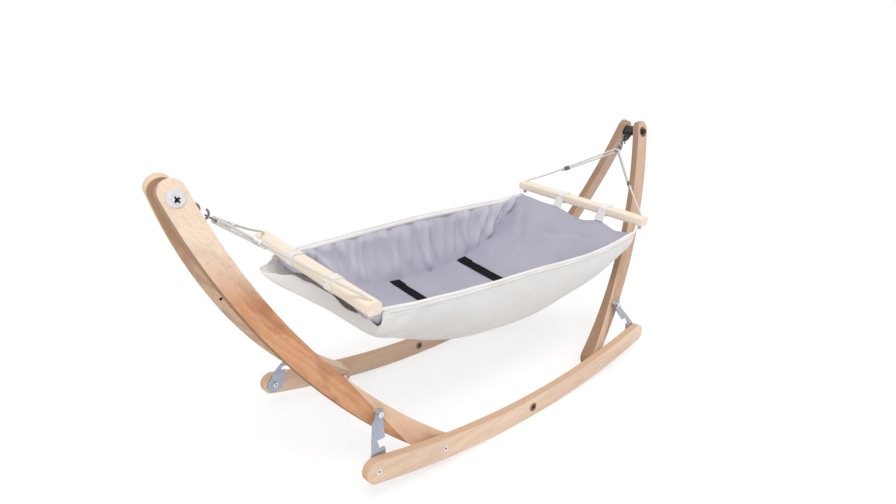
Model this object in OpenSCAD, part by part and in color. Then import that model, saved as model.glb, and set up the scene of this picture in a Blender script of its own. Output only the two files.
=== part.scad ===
// Swinging baby cradle: a fabric sling hung between two folding A-frames
// that stand on a pair of curved rails. X runs along the rails, Y to the
// back and Z up; the origin is on the floor under the middle of the stand.

/* [Rails] */
// Width of the stand over both rails
stand_w = 432; // [380:1:520]
// Height of a rail board
rail_h = 46; // [38:1:60]
// Thickness of a rail board
rail_t = 18; // [14:1:24]
// Radius of the rail's centre line, the rocker's curve
rail_r = 2000; // [1500:10:4000]
// Distance of each brace pin from the middle of a rail
pin_x = 430; // [400:1:480]
// Wood left past the brace pin, to the start of the rounded end
rail_tip = 4; // [0:1:20]
// Distance of each leg pivot from the middle of a rail
pivot_x = 268; // [240:1:300]
// Outer diameter of the steel eyelet at the middle of a rail
eyelet_d = 20; // [14:1:26]
// Bore of the steel eyelet
eyelet_bore = 9; // [6:0.5:12]

/* [Legs] */
// Width of a leg across its curve
leg_w = 45; // [36:1:56]
// Thickness of a leg plank
leg_t = 18; // [14:1:22]
// Radius of a leg's curve
leg_r = 1130; // [800:10:2000]
// Distance of the apex bolt from the middle of the stand
apex_x = 661; // [600:1:720]
// Height of the apex bolt above the floor
apex_z = 583; // [520:1:640]
// Half distance over both legs at the apex bolt
apex_half = 38; // [34:1:50]
// Wood past the apex bolt, to the start of the rounded top
leg_tip = 10; // [4:1:20]
// Thickness of the planed foot pad at the leg pivot
foot_pad = 13; // [8:1:16]
// Height where the planed pad starts on the leg's hollow edge
pad_top = 238; // [200:1:280]
// Height where the planed pad ends on the leg's outer edge
pad_low = 66; // [50:1:90]

/* [Braces] */
// Thickness of the brace steel
brace_t = 2.5; // [1.5:0.5:4]
// Height of the latch stud above the brace pin
latch_up = 84; // [70:1:100]
// Distance of the latch stud inwards from the brace pin
latch_in = 36; // [26:1:44]
// Gap between leg and brace blade at the latch stud
latch_standoff = 15; // [10:1:20]
// Radius of the brace's round head
brace_head_r = 19; // [15:1:23]

/* [Hardware] */
// Diameter of the leg pivot bolts
pivot_d = 8; // [6:0.5:10]
// Diameter of the brace pins and latch studs
pin_d = 6; // [4:0.5:8]
// Diameter of the apex bolts
apex_d = 8; // [6:0.5:10]
// Diameter of the large washers at the apex
apex_washer_d = 28; // [20:1:36]
// Thickness of the large washers
washer_t = 2; // [1:0.5:3]
// Wire of the hooks
hook_wire = 4; // [3:0.5:5]
// Inner radius of a hook's bow
hook_bow = 7; // [6:0.5:9]
// Wire of the hanging rings
ring_wire = 3.5; // [2.5:0.5:4]
// Inner radius of the hanging rings
ring_in = 8; // [7:0.5:10]

/* [Cradle] */
// Length of a spreader bar
bar_l = 418; // [380:1:440]
// Width of a spreader bar
bar_w = 30; // [24:1:36]
// Height of a spreader bar
bar_h = 24; // [18:1:30]
// Distance of each spreader bar from the middle
bar_x = 422; // [400:1:440]
// Height of the spreader bars above the floor
bar_z = 404; // [370:1:430]
// Slant of the hung cradle: the front edge hangs lower
cradle_slant = 4.7; // [0:0.1:8]
// Half length of the fabric sling
sling_x = 396; // [370:1:400]
// Sag of the long edges between the bars
edge_sag = 26; // [10:1:50]
// Inward bow of the long edges
edge_bow = 10; // [0:1:25]
// Depth of the outer sling under its edges
sling_depth = 214; // [170:1:225]
// Where along the cradle the outer sling hangs lowest
sling_low_x = 80; // [-100:1:120]
// Thickness of the outer sling's canvas
canvas_t = 2; // [1:0.5:4]
// Depth of the lining's floor under the long edges
lining_depth = 132; // [90:1:150]
// Half width of the pad in the lining's floor
pad_half = 125; // [100:1:130]
// Thickness of the lining's padded cloth
lining_t = 3; // [2:0.5:5]
// Thickness of the pad in the lining's floor
pad_t = 14; // [8:1:20]
// Depth of the folds in the lining's walls
fold_depth = 7; // [2:0.5:10]
// Number of folds along a lining wall
folds = 15; // [8:1:20]
// Diameter of the piping on the long edges
piping_d = 7; // [4:0.5:9]
// Width of the fabric loops round the bars
loop_w = 26; // [16:1:40]
// Distance of the back loops from the middle of a bar
loop_back = 60; // [45:1:90]
// Distance of the front loops from the middle of a bar
loop_front = 82; // [45:1:95]
// Thickness of the loop fabric
loop_t = 2.2; // [1.5:0.1:3]
// Width of the safety straps
strap_w = 27; // [20:1:34]
// Foot strap, from the middle towards the foot bar
foot_strap_x = 111; // [80:1:140]
// Head strap, from the middle towards the head bar
head_strap_x = 124; // [90:1:150]

/* [Ropes] */
// Diameter of the ropes
rope_d = 5; // [4:0.5:7]
// Distance of the rope holes from the end of a bar
rope_hole_in = 12; // [10:1:20]
// Share of the rope that is doubled, at the left end
left_doubled = 0.22; // [0.15:0.01:0.6]
// Share of the rope that is doubled, at the right end
right_doubled = 0.5; // [0.15:0.01:0.6]

/* [Hidden] */

$fn = 64;
fine = 240;              // facets of the long wooden curves
far = 3000;              // longer than anything here
running = 0.05;          // radial clearance of a pin that turns
side_gap = 0.3;          // clearance between plates that move past each other
cloth_gap = 0.3;         // clearance round cloth

left = -1;
right = 1;
front = -1;
back = 1;

wood_leg = "#d9a77c";
wood_rail = "#e3c3a4";
wood_bar = "#f0dcb8";
steel = "#a8acb6";
canvas_white = "#ebe6e1";
lining_grey = "#a9a8b8";
strap_black = "#1c1c20";
rope_white = "#e6e3dc";

// ---- rails ----

rail_in = stand_w / 2 - rail_t;                  // inner face of a rail
function rail_z(x) = rail_h / 2 + rail_r - sqrt(rail_r * rail_r - x * x);
pivot_z = rail_z(pivot_x);
pin_z = rail_z(pin_x);
end_x = pin_x + rail_tip;
head_depth = 4;                                   // counterbore for a bolt head
bolt_head_r = pivot_d / 2 + 3;
pin_head_r = pin_d / 2 + 3;
flange_t = 1.2;                                   // collar of an eyelet
eyelet_r = eyelet_bore / 2 + 1.5;                 // barrel of an eyelet

// A bar along Y from y0 to y1, at (x, z).
module along_y(x, z, y0, y1, r) {
    translate([x, y0, z]) rotate([-90, 0, 0]) cylinder(h = y1 - y0, r = r);
}

// The same round a front piece as on the back one, seen from the outside.
module at_side(side) {
    if (side == front) children();
    else mirror([0, 1, 0]) children();
}

module at_end(end) {
    if (end == left) children();
    else mirror([1, 0, 0]) children();
}

module four_corners() {
    for (end = [left, right], side = [front, back]) at_end(end) at_side(side) children();
}

module rail_profile() {
    intersection() {
        translate([0, rail_r + rail_h / 2]) difference() {
            circle(r = rail_r + rail_h / 2, $fn = fine);
            circle(r = rail_r - rail_h / 2, $fn = fine);
        }
        polygon([[0, rail_r + rail_h / 2], [-end_x, rail_z(end_x)], [-end_x * 1.05, -rail_h],
            [end_x * 1.05, -rail_h], [end_x, rail_z(end_x)]]);
    }
    for (s = [-1, 1]) translate([s * end_x, rail_z(end_x)]) circle(r = rail_h / 2);
}

module rail() {
    out = -stand_w / 2;
    color(wood_rail) difference() {
        translate([0, -rail_in, 0]) rotate([90, 0, 0]) linear_extrude(rail_t) rail_profile();
        for (s = [-1, 1]) {
            along_y(s * pivot_x, pivot_z, out - 1, -rail_in + 1, pivot_d / 2);
            along_y(s * pivot_x, pivot_z, out - 1, out + head_depth, bolt_head_r + running);
            along_y(s * pin_x, pin_z, out - 1, -rail_in + 1, pin_d / 2);
            along_y(s * pin_x, pin_z, out - 1, out + head_depth, pin_head_r + running);
        }
        along_y(0, rail_h / 2, out - 1, -rail_in + 1, eyelet_r);
    }
}

module front_rail() rail();
module back_rail() mirror([0, 1, 0]) rail();

module rail_eyelets() {
    color(steel) for (side = [front, back]) at_side(side) difference() {
        union() {
            along_y(0, rail_h / 2, -stand_w / 2 - flange_t, -rail_in + flange_t, eyelet_r);
            along_y(0, rail_h / 2, -stand_w / 2 - flange_t, -stand_w / 2, eyelet_d / 2);
            along_y(0, rail_h / 2, -rail_in, -rail_in + flange_t, eyelet_d / 2);
        }
        along_y(0, rail_h / 2, -stand_w, 0, eyelet_bore / 2);
    }
}

// ---- legs ----

lean = atan((rail_in - foot_pad - apex_half) / (apex_z - pivot_z));
foot_s = -(apex_z - pivot_z) / cos(lean);         // along the leaning plank, apex at 0
chord = norm([apex_x - pivot_x, foot_s]);
rise = sqrt(leg_r * leg_r - chord * chord / 4);
leg_cx = (pivot_x + apex_x) / 2 - rise * -foot_s / chord;
leg_cs = foot_s / 2 + rise * (apex_x - pivot_x) / chord;
foot_a = atan2(foot_s - leg_cs, pivot_x - leg_cx);
apex_a = atan2(-leg_cs, apex_x - leg_cx);
top_a = apex_a + leg_tip / leg_r * 180 / PI;

// Half distance over the legs' outer faces at a height.
function leg_face(z) = apex_half + tan(lean) * (apex_z - z);
// Distance along X of the leg's curve at a height, off its centre line by d.
function leg_at(z, d) = let (s = -(apex_z - z) / cos(lean) - leg_cs)
    leg_cx + sqrt(pow(leg_r + d, 2) - s * s);

module leg_profile() {
    intersection() {
        translate([leg_cx, leg_cs]) difference() {
            circle(r = leg_r + leg_w / 2, $fn = fine);
            circle(r = leg_r - leg_w / 2, $fn = fine);
        }
        translate([leg_cx, leg_cs]) polygon([[0, 0],
            far * [cos(foot_a), sin(foot_a)], far * [cos(top_a), sin(top_a)]]);
    }
    translate([pivot_x, foot_s]) circle(r = leg_w / 2);
    translate([leg_cx + leg_r * cos(top_a), leg_cs + leg_r * sin(top_a)]) circle(r = leg_w / 2);
}

// Children drawn on the front leg's outer face at the apex: Z points out of the wood.
module on_apex_face() {
    translate([0, -apex_half, apex_z]) rotate([90 - lean, 0, 0]) translate([apex_x, 0, 0]) children();
}
shank_in = 12;                                    // thread in the apex block
module apex_shank() {
    on_apex_face() translate([0, 0, -leg_t - shank_in])
        cylinder(h = leg_t + shank_in + washer_t + apex_head_t, r = apex_d / 2);
}
apex_head_t = 5;

// A slab of the leg's outline, from depth d0 to d1 outwards of its outer face.
module leg_slab(d0, d1) {
    translate([0, -apex_half, apex_z]) rotate([90 - lean, 0, 0])
        translate([0, 0, d0]) linear_extrude(d1 - d0) leg_profile();
}

// The planed face: through the plank's face at both edges and the rail's face at the pivot.
pad_a = [leg_at(pad_top, -leg_w / 2), -leg_face(pad_top), pad_top];
pad_b = [leg_at(pad_low, leg_w / 2), -leg_face(pad_low), pad_low];
pad_c = [pivot_x, -rail_in, pivot_z];
pad_raw = cross(pad_b - pad_a, pad_c - pad_a);
pad_n = pad_raw / norm(pad_raw) * (pad_raw.y < 0 ? 1 : -1);
module inside_pad_face() {
    translate(pad_a) rotate([0, acos(pad_n.z), atan2(pad_n.y, pad_n.x)])
        translate([-far / 2, -far / 2, -far / 2]) cube([far, far, far / 2]);
}
module inside_plank_face() {
    on_apex_face() translate([-far / 2, -far / 2, -far / 2]) cube([far, far, far / 2]);
}
module foot_wedge() {
    intersection() {
        leg_slab(-leg_t / 2, 4 * foot_pad);
        inside_pad_face();
        translate([0, -rail_in + side_gap, pad_top - far]) cube([far, far, far]);
    }
}

stud_x = pin_x - latch_in;
stud_z = pin_z + latch_up;
stud_face = leg_face(stud_z);                     // leg's outer face at the latch stud
blade_y = stud_face + latch_standoff;             // inner side of the brace's blade

// Front leg at the right-hand end.
module leg() {
    color(wood_leg) difference() {
        union() {
            leg_slab(-leg_t, 0);
            foot_wedge();
        }
        along_y(pivot_x, pivot_z, -stand_w, 0, pivot_d / 2 + running);
        apex_shank();
        along_y(stud_x, stud_z, -stand_w, 0, pin_d / 2);
    }
}

module left_front_leg() mirror([1, 0, 0]) leg();
module left_back_leg() mirror([1, 0, 0]) mirror([0, 1, 0]) leg();
module right_front_leg() leg();
module right_back_leg() mirror([0, 1, 0]) leg();

// ---- pivot bolts and brace pins, on the rails ----

pivot_nut_y = leg_face(pivot_z) - leg_t / cos(lean) - bolt_head_r * tan(lean) - side_gap;
nut_t = 6;

module leg_pivot_bolts() {
    color(steel) four_corners() {
        along_y(-pivot_x, pivot_z, -stand_w / 2 + 0.5, -pivot_nut_y + nut_t + 2, pivot_d / 2);
        difference() {
            along_y(-pivot_x, pivot_z, -stand_w / 2 + 0.5, -stand_w / 2 + head_depth, bolt_head_r);
            along_y(-pivot_x, pivot_z, -stand_w / 2, -stand_w / 2 + 2.5, 2.5);
        }
    }
}

module hex_nut(x, z, y0, t, r, bore) {
    difference() {
        translate([x, y0, z]) rotate([-90, 0, 0]) cylinder(h = t, r = r, $fn = 6);
        along_y(x, z, y0 - 1, y0 + t + 1, bore);
    }
}

module leg_pivot_nuts() {
    color(steel) four_corners()
        hex_nut(-pivot_x, pivot_z, -pivot_nut_y, nut_t, bolt_head_r, pivot_d / 2);
}

brace_face = rail_in - side_gap;                  // outer side of the brace's head
pin_nut_y = brace_face - brace_t - side_gap;

module brace_pins() {
    color(steel) four_corners() {
        along_y(-pin_x, pin_z, -stand_w / 2 + 0.5, -pin_nut_y + nut_t / 2 + 1, pin_d / 2);
        difference() {
            along_y(-pin_x, pin_z, -stand_w / 2 + 0.5, -stand_w / 2 + head_depth, pin_head_r);
            along_y(-pin_x, pin_z, -stand_w / 2, -stand_w / 2 + 2.5, 2);
        }
    }
}

module brace_pin_nuts() {
    color(steel) four_corners()
        hex_nut(-pin_x, pin_z, -pin_nut_y, nut_t / 2, pin_head_r, pin_d / 2);
}

// ---- braces ----

slot_r = pin_d / 2 + 0.6;                         // open hook round the latch stud
blade_r = 11;                                     // round end of the blade
bend_1 = rail_h / 2 + 5;                          // first bend, above the rail's edge
bend_2 = latch_up - 14;                           // second bend, below the latch
shift = brace_face - blade_y - brace_t;           // how far the blade stands inwards

// Outline of the brace above its round head, with its pin at the origin, inwards to the right.
module brace_profile() {
    difference() {
        union() {
            polygon([[-12, 8], [4, bend_1 + 16], [latch_in - blade_r + 1, latch_up],
                [latch_in + blade_r - 1, latch_up], [latch_in - 2, bend_1 + 16],
                [16, bend_1 + 16], [16, bend_1 + 3], [27, bend_1 + 3], [27, 4]]);
            translate([latch_in, latch_up]) circle(r = blade_r);
        }
        translate([latch_in, latch_up]) circle(r = slot_r);
        translate([latch_in, latch_up - slot_r]) square([30, 2 * slot_r]);
    }
}

// Side view of what is cut from the outline: it leaves a Z with its blade stood inwards.
module brace_gaps() {
    polygon([[-1, bend_1], [0, bend_1], [shift, bend_2], [shift, 2 * latch_up],
        [-1, 2 * latch_up]]);
    polygon([[brace_t, -latch_up], [brace_t, bend_1], [shift + brace_t, bend_2],
        [shift + brace_t + 1, bend_2], [shift + brace_t + 1, -latch_up]]);
}

module brace() {
    translate([-pin_x, -brace_face, pin_z]) color(steel) difference() {
        union() {
            rotate([90, 0, 0]) translate([0, 0, -shift - brace_t])
                linear_extrude(shift + brace_t) brace_profile();
            rotate([-90, 0, 0]) cylinder(h = brace_t, r = brace_head_r);
        }
        rotate([90, 0, 90]) translate([0, 0, -latch_up]) linear_extrude(3 * latch_up)
            brace_gaps();
        rotate([-90, 0, 0]) translate([0, 0, -1])
            cylinder(h = brace_t + 2, r = pin_d / 2 + running);
    }
}

module left_front_brace() brace();
module left_back_brace() mirror([0, 1, 0]) brace();
module right_front_brace() mirror([1, 0, 0]) brace();
module right_back_brace() mirror([1, 0, 0]) mirror([0, 1, 0]) brace();

// ---- hardware on an A-frame ----

stud_out = blade_y + brace_t + 2 * side_gap;      // inner side of the stud's head

module latch_studs(end) {
    inner = stud_face - leg_t / cos(lean) - pin_d;
    color(steel) mirror([end == left ? 1 : 0, 0, 0]) for (side = [front, back]) at_side(side) {
        along_y(stud_x, stud_z, -stud_out - 3, -inner, pin_d / 2);
        along_y(stud_x, stud_z, -stud_out - 3, -stud_out, pin_head_r);
        difference() {
            along_y(stud_x, stud_z, -blade_y + side_gap, -stud_face + pin_head_r, pin_head_r);
            inside_plank_face();
            inside_pad_face();
            along_y(stud_x, stud_z, -blade_y, 0, pin_d / 2);
        }
        hex_nut(stud_x, stud_z, -inner - 3, 3, pin_head_r, pin_d / 2);
    }
}

module left_latch_studs() latch_studs(left);
module right_latch_studs() latch_studs(right);

module apex_bolts(end) {
    color(steel) mirror([end == left ? 1 : 0, 0, 0]) for (side = [front, back]) at_side(side)
        difference() {
            union() {
                apex_shank();
                on_apex_face() translate([0, 0, washer_t]) cylinder(h = apex_head_t, r = apex_d);
            }
            on_apex_face() translate([0, 0, washer_t + apex_head_t]) for (a = [45, 135])
                rotate([0, 0, a]) cube([apex_d * 1.3, 2, 5], center = true);
        }
}

module apex_washers(end) {
    color("#d6d8dc") mirror([end == left ? 1 : 0, 0, 0]) for (side = [front, back]) at_side(side)
        on_apex_face() difference() {
            cylinder(h = washer_t, r = apex_washer_d / 2);
            translate([0, 0, -1]) cylinder(h = washer_t + 2, r = apex_d / 2);
        }
}

// Block between the legs that takes both bolts, with a tab that slopes to the cradle.
inner_face = apex_half - leg_t / cos(lean);       // half gap between the legs at the bolts
block_r = 14;
pull = 38;                                        // slope of the ropes' pull
tab_w = 20;
tab_l = 34;
tab_t = 3;
tab_hole = hook_wire / 2 + 1.5;
tab_end = tab_hole + 4;

module apex_block(end) {
    color(steel) mirror([end == left ? 1 : 0, 0, 0]) difference() {
        union() {
            intersection() {
                along_y(apex_x, apex_z, -2 * apex_half, 2 * apex_half, block_r);
                between_legs();
            }
            translate([apex_x, 0, apex_z]) rotate([0, 180 - pull, 0]) {
                translate([0, -tab_w / 2, -tab_t / 2]) cube([tab_l, tab_w, tab_t]);
                translate([tab_l, 0, -tab_t / 2]) cylinder(h = tab_t, r = tab_w / 2);
            }
        }
        for (side = [front, back]) at_side(side) apex_shank();
        translate([apex_x, 0, apex_z]) rotate([0, 180 - pull, 0])
            translate([tab_l + tab_w / 2 - tab_end, 0, -tab_t]) cylinder(h = 2 * tab_t, r = tab_hole);
    }
}

// The space between the inner faces of the two leaning legs.
module between_legs() {
    intersection_for (side = [front, back]) at_side(side) translate([0, -inner_face, apex_z])
        rotate([-lean, 0, 0]) translate([0, 0, -far / 2]) cube([far, far, far]);
}

// S-hook in the XZ plane: an upper bow through the tab, a lower bow for the hanging ring.
bow_r = hook_bow + hook_wire / 2;
hook_top = tab_l + tab_w / 2 - tab_end + tab_hole - hook_wire / 2 - side_gap;
seat_l = hook_top + 4 * bow_r;                    // lower bow's wire, along the pull

module bow(a0, a) {
    rotate([90, 0, 0]) rotate([0, 0, a0]) rotate_extrude(angle = a)
        translate([bow_r, 0]) circle(r = hook_wire / 2, $fn = 24);
}

module hook(end) {
    color("#8f939c") at_end(end) translate([-apex_x, 0, apex_z]) rotate([0, pull, 0]) {
        translate([hook_top + bow_r, 0, 0]) bow(0, 270);
        translate([hook_top + 3 * bow_r, 0, 0]) bow(180, 270);
    }
}

module left_apex_bolts() apex_bolts(left);
module left_apex_washers() apex_washers(left);
module left_apex_block() apex_block(left);
module left_hook() hook(left);
module right_apex_bolts() apex_bolts(right);
module right_apex_washers() apex_washers(right);
module right_apex_block() apex_block(right);
module right_hook() hook(right);

// ---- cradle: spreader bars ----

// The cradle's own pieces are drawn level and hang with a slight slant.
module slanted() {
    translate([0, 0, bar_z]) rotate([cradle_slant, 0, 0]) translate([0, 0, -bar_z]) children();
}
function slant(p) = [p.x, p.y * cos(cradle_slant) - (p.z - bar_z) * sin(cradle_slant),
    bar_z + p.y * sin(cradle_slant) + (p.z - bar_z) * cos(cradle_slant)];

bar_round = 7;
rope_hole_y = bar_l / 2 - rope_hole_in;
rope_hole_r = rope_d / 2 + 0.3;

// Rounded section of a bar, grown by d.
module bar_section(d) {
    x = bar_w / 2 - bar_round;
    z = bar_h / 2 - bar_round;
    square([2 * x, bar_h + 2 * d], center = true);
    square([bar_w + 2 * d, 2 * z], center = true);
    for (sx = [-1, 1], sz = [-1, 1]) translate([sx * x, sz * z]) circle(r = bar_round + d);
}

module bar(end) {
    color(wood_bar) slanted() difference() {
        translate([end * bar_x, bar_l / 2, bar_z]) rotate([90, 0, 0]) linear_extrude(bar_l)
            bar_section(0);
        for (s = [-1, 1]) translate([end * bar_x, s * rope_hole_y, bar_z - bar_h])
            cylinder(h = 2 * bar_h, r = rope_hole_r);
    }
}

module foot_bar() bar(left);
module head_bar() bar(right);

// ---- cradle: cloth surfaces ----

edge_top = bar_z - bar_h / 2 - 3;                 // long edges at the bars
edge_half = bar_l / 2 - 8;
function share(x) = 1 - pow(x / sling_x, 2);
function edge_y(x) = edge_half - edge_bow * share(x);
function edge_z(x) = edge_top - edge_sag * share(x);

// Depth of the outer sling: it falls away steeper on its short, right-hand side.
reach_left = 591;
reach_right = 460;
function depth(x) = sling_depth * (x < sling_low_x
    ? 1 - pow((sling_low_x - x) / reach_left, 2.27)
    : 1 - pow((x - sling_low_x) / reach_right, 2.8));
// Half-round section: v from -1 at the front edge to 1 at the back edge, in by d.
function sling_point(x, v, d) = [x, (edge_y(x) - d) * sin(90 * v),
    edge_z(x) - (depth(x) - d) * cos(90 * v)];

// The lining's floor rises to the bars; its walls carry the folds.
lining_reach = 410;
lining_ease = 2.0;                                // room for the slopes of both cloths
lining_in = canvas_t + cloth_gap + lining_ease;
floor_sag = 5;
function lining_floor(x) = lining_depth * (1 - pow(abs(x) / lining_reach, 2.6));
wall_share = 0.3;                                 // part of the section that is one wall
function ramp(a, b, t) = let (k = min(1, max(0, (t - a) / (b - a)))) k * k * (3 - 2 * k);
function fold_at(x, v) = let (
        wave = sin(folds * 180 * (x / sling_x + 0.12 * sin(400 * x / sling_x))),
        wide = sin(folds * 67 * x / sling_x + 40))
    fold_depth * (0.55 + 0.3 * wave + 0.15 * wide) * ramp(0.66, 0.8, abs(v)) * ramp(1, 0.9, abs(v))
        * ramp(1, 0.75, abs(x) / sling_x);
// Half width inside the outer sling at depth q under the edges.
function room(x, q) = edge_y(x) * sqrt(1 - pow(q / depth(x), 2)) - lining_in;
// A point of the lining: d is 0 on its inner side and lining_t on its outer side.
function lining_point(x, v, d) = let (
        w = min(1, max(0, (abs(v) - 1 + wall_share) / wall_share)),
        q = (lining_floor(x) + d) * (1 - w),
        y_wall = room(x, q) - (lining_t - d) - (d == 0 ? fold_at(x, v) : 0),
        u = min(1, abs(v) / (1 - wall_share)))
    [x, sign(v) * y_wall * u, edge_z(x) - q - floor_sag * share(x) * (1 - u * u)];

sling_n = 30;                                     // cells along the sling
sling_m = 18;                                     // cells across the sling
lining_n = 44;
lining_m = 12;

// Closed sheet between an inner and an outer grid of points, n by m cells each.
module sheet(inner, outer, n, m) {
    row = m + 1;
    size = (n + 1) * row;
    function at(i, j) = i * row + j;
    skin = [for (i = [0:n - 1], j = [0:m - 1]) each [
        [at(i, j), at(i, j + 1), at(i + 1, j + 1)], [at(i, j), at(i + 1, j + 1), at(i + 1, j)]]];
    back_skin = [for (t = skin) [t[2] + size, t[1] + size, t[0] + size]];
    ends = [for (j = [0:m - 1]) each [
        [at(0, j), at(0, j) + size, at(0, j + 1)],
        [at(0, j + 1), at(0, j) + size, at(0, j + 1) + size],
        [at(n, j), at(n, j + 1), at(n, j) + size],
        [at(n, j + 1), at(n, j + 1) + size, at(n, j) + size]]];
    sides = [for (i = [0:n - 1]) each [
        [at(i, 0), at(i + 1, 0), at(i, 0) + size],
        [at(i + 1, 0), at(i + 1, 0) + size, at(i, 0) + size],
        [at(i, m), at(i, m) + size, at(i + 1, m)],
        [at(i + 1, m), at(i, m) + size, at(i + 1, m) + size]]];
    polyhedron(points = concat(inner, outer), faces = concat(skin, back_skin, ends, sides));
}

function along(n, i) = -sling_x + 2 * sling_x * i / n;

module outer_sling() {
    function grid(d) = [for (i = [0:sling_n], j = [0:sling_m])
        sling_point(along(sling_n, i), 2 * j / sling_m - 1, d)];
    color(canvas_white) slanted() sheet(grid(canvas_t), grid(0), sling_n, sling_m);
}

// Columns of the lining: three over each wall, the rest over the floor.
lining_v = [-1, -0.93, -0.85, -0.77, -0.7, -0.35, 0, 0.35, 0.7, 0.77, 0.85, 0.93, 1];

module lining() {
    color(lining_grey) slanted() sheet(
        [for (i = [0:lining_n], v = lining_v) lining_point(along(lining_n, i), v, 0)],
        [for (i = [0:lining_n], v = lining_v) lining_point(along(lining_n, i), v, lining_t)],
        lining_n, len(lining_v) - 1);
}

module base_pad() {
    n = 34;                                       // rows under the lining's own rows
    m = 8;
    reach = sling_x * n / lining_n;
    top = lining_t + cloth_gap;
    function px(i) = -reach + 2 * reach * i / n;
    function pt(x, v, d) = let (k = pad_half * v / lining_point(x, 1 - wall_share, 0).y)
        [x, pad_half * v, lining_point(x, k * (1 - wall_share), 0).z - top - d];
    color("#c9c7cf") slanted() sheet(
        [for (i = [0:n], j = [0:m]) pt(px(i), 2 * j / m - 1, 0)],
        [for (i = [0:n], j = [0:m]) let (v = 2 * j / m - 1, u = 2 * i / n - 1)
            pt(px(i), v, pad_t * (0.35 + 0.65 * sqrt((1 - pow(v, 6)) * (1 - pow(u, 8)))))],
        n, m);
}

// ---- cradle: piping, loops and straps ----

// A tube through a list of points; its bends lie about square to the direction given.
module tube(pts, r, square_to) {
    n = len(pts);
    sides = 8;
    function unit(a) = a / norm(a);
    function step(i) = unit(pts[i + 1] - pts[i]);
    function course(i) = i == 0 ? step(0) : i == n - 1 ? step(n - 2) : unit(step(i - 1) + step(i));
    function ring(i) = let (c = course(i), w = unit(cross(c, square_to)), a = cross(w, c),
            miter = i == 0 ? 1 : 1 / (c * step(i - 1)))
        [for (k = [0:sides - 1])
            pts[i] + r * (cos(360 * k / sides) * a + miter * sin(360 * k / sides) * w)];
    skin = [for (i = [0:n - 2], k = [0:sides - 1]) let (k2 = (k + 1) % sides) each [
        [i * sides + k, (i + 1) * sides + k, i * sides + k2],
        [i * sides + k2, (i + 1) * sides + k, (i + 1) * sides + k2]]];
    caps = [for (k = [1:sides - 2]) each [[0, k, k + 1],
        [(n - 1) * sides, (n - 1) * sides + k + 1, (n - 1) * sides + k]]];
    polyhedron(points = [for (i = [0:n - 1]) each ring(i)],
        faces = concat(skin, caps));
}

piping_n = 24;
piping_end = bar_x - bar_w / 2 - cloth_gap - piping_d * 0.3;  // slanted end at the bar's inner side
module piping(side) {
    r = piping_d / 2;
    function at(x) = [x, side * (edge_y(x) - canvas_t / 2), edge_z(x) + r + cloth_gap];
    function stub(end) = [end * piping_end, side * edge_half, bar_z - 4];
    color("#f6f3ef") slanted() tube(concat([stub(left)],
        [for (i = [0:piping_n]) at(along(piping_n, i))], [stub(right)]), r, [0, 1, 0]);
}
module front_piping() piping(front);
module back_piping() piping(back);

tail_x = sling_x - 12;                            // where a loop's tail meets the sling

// Loop round a bar with a tail down to the lining's end, seen from the front.
module loop(end, y) {
    inner = 0.3;
    at_end(end) difference() {
        union() {
            bar_section(inner + loop_t);
            loop_tail(y);
        }
        bar_section(inner);
    }
}
module loop_tail(y) {
    x = bar_w / 2 + 0.3;
    end_x = bar_x - tail_x;
    end_z = lining_point(tail_x, y / edge_half, 0).z + cloth_gap - bar_z;
    polygon([[x, 0], [x + loop_t, 0], [x + loop_t, -bar_h / 2], [end_x + loop_t, end_z],
        [end_x, end_z], [x, -bar_h / 2 - 1]]);
}

module bar_loops(end) {
    color(canvas_white) slanted() for (y = [-loop_front, loop_back])
        translate([end * bar_x, y + loop_w / 2, bar_z]) rotate([90, 0, 0])
            linear_extrude(loop_w) loop(end, y);
}
module foot_bar_loops() bar_loops(left);
module head_bar_loops() bar_loops(right);

// A strap of webbing across the lining's floor, with a wider sewn tab at the back.
strap_t = 2;
strap_reach = 0.66;
module strap(x0) {
    n = 14;
    lift = cloth_gap + 0.7;
    function v(j) = strap_reach * (1 - 2 * j / n);
    function wide(j) = strap_w / 2 + (j < 2 ? 2 : 0);
    function pt(x, j, d) = lining_point(x, v(j), 0) + [0, 0, lift + d];
    color(strap_black) slanted() sheet(
        [for (e = [-1, 0, 1], j = [0:n]) pt(x0 + e * wide(j), j, 0)],
        [for (e = [-1, 0, 1], j = [0:n]) pt(x0 + e * wide(j), j, strap_t)],
        2, n);
}
module foot_strap() strap(-foot_strap_x);
module head_strap() strap(head_strap_x);

// ---- ropes ----

// Ring that hangs on a hook, and the ropes from it to the bars' holes.
ring_mid = ring_in + ring_wire / 2;
ring_play = 0.6;
ring_l = seat_l - hook_wire / 2 - ring_play + ring_in;
function on_pull(l, up) = [-apex_x + l * cos(pull) + up * sin(pull), 0,
    apex_z - l * sin(pull) + up * cos(pull)];
ring_c = on_pull(ring_l, 0);

module hanging_ring(end) {
    color("#8f939c") at_end(end) translate(ring_c) rotate([0, pull, 0])
        rotate_extrude() translate([ring_mid, 0]) circle(r = ring_wire / 2, $fn = 24);
}
module left_hanging_ring() hanging_ring(left);
module right_hanging_ring() hanging_ring(right);

module rod(p, q, r) {
    d = q - p;
    translate(p) rotate([0, acos(d.z / norm(d)), atan2(d.y, d.x)]) cylinder(h = norm(d), r = r);
}

rope_r = rope_d / 2;
strand = rope_r + 0.4;                            // half distance between doubled strands
turn_r = strand + rope_r;                         // room that the rope's turn takes
turn_y = turn_r + cloth_gap;                      // the two ropes turn side by side
turn_l = ring_l + sqrt(pow(ring_mid + ring_wire / 2 + cloth_gap + turn_r, 2) - turn_y * turn_y);
knot_r = rope_d * 1.1;
adjuster_l = 14;
tail_l = 10;                                      // rope left past its adjuster

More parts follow.
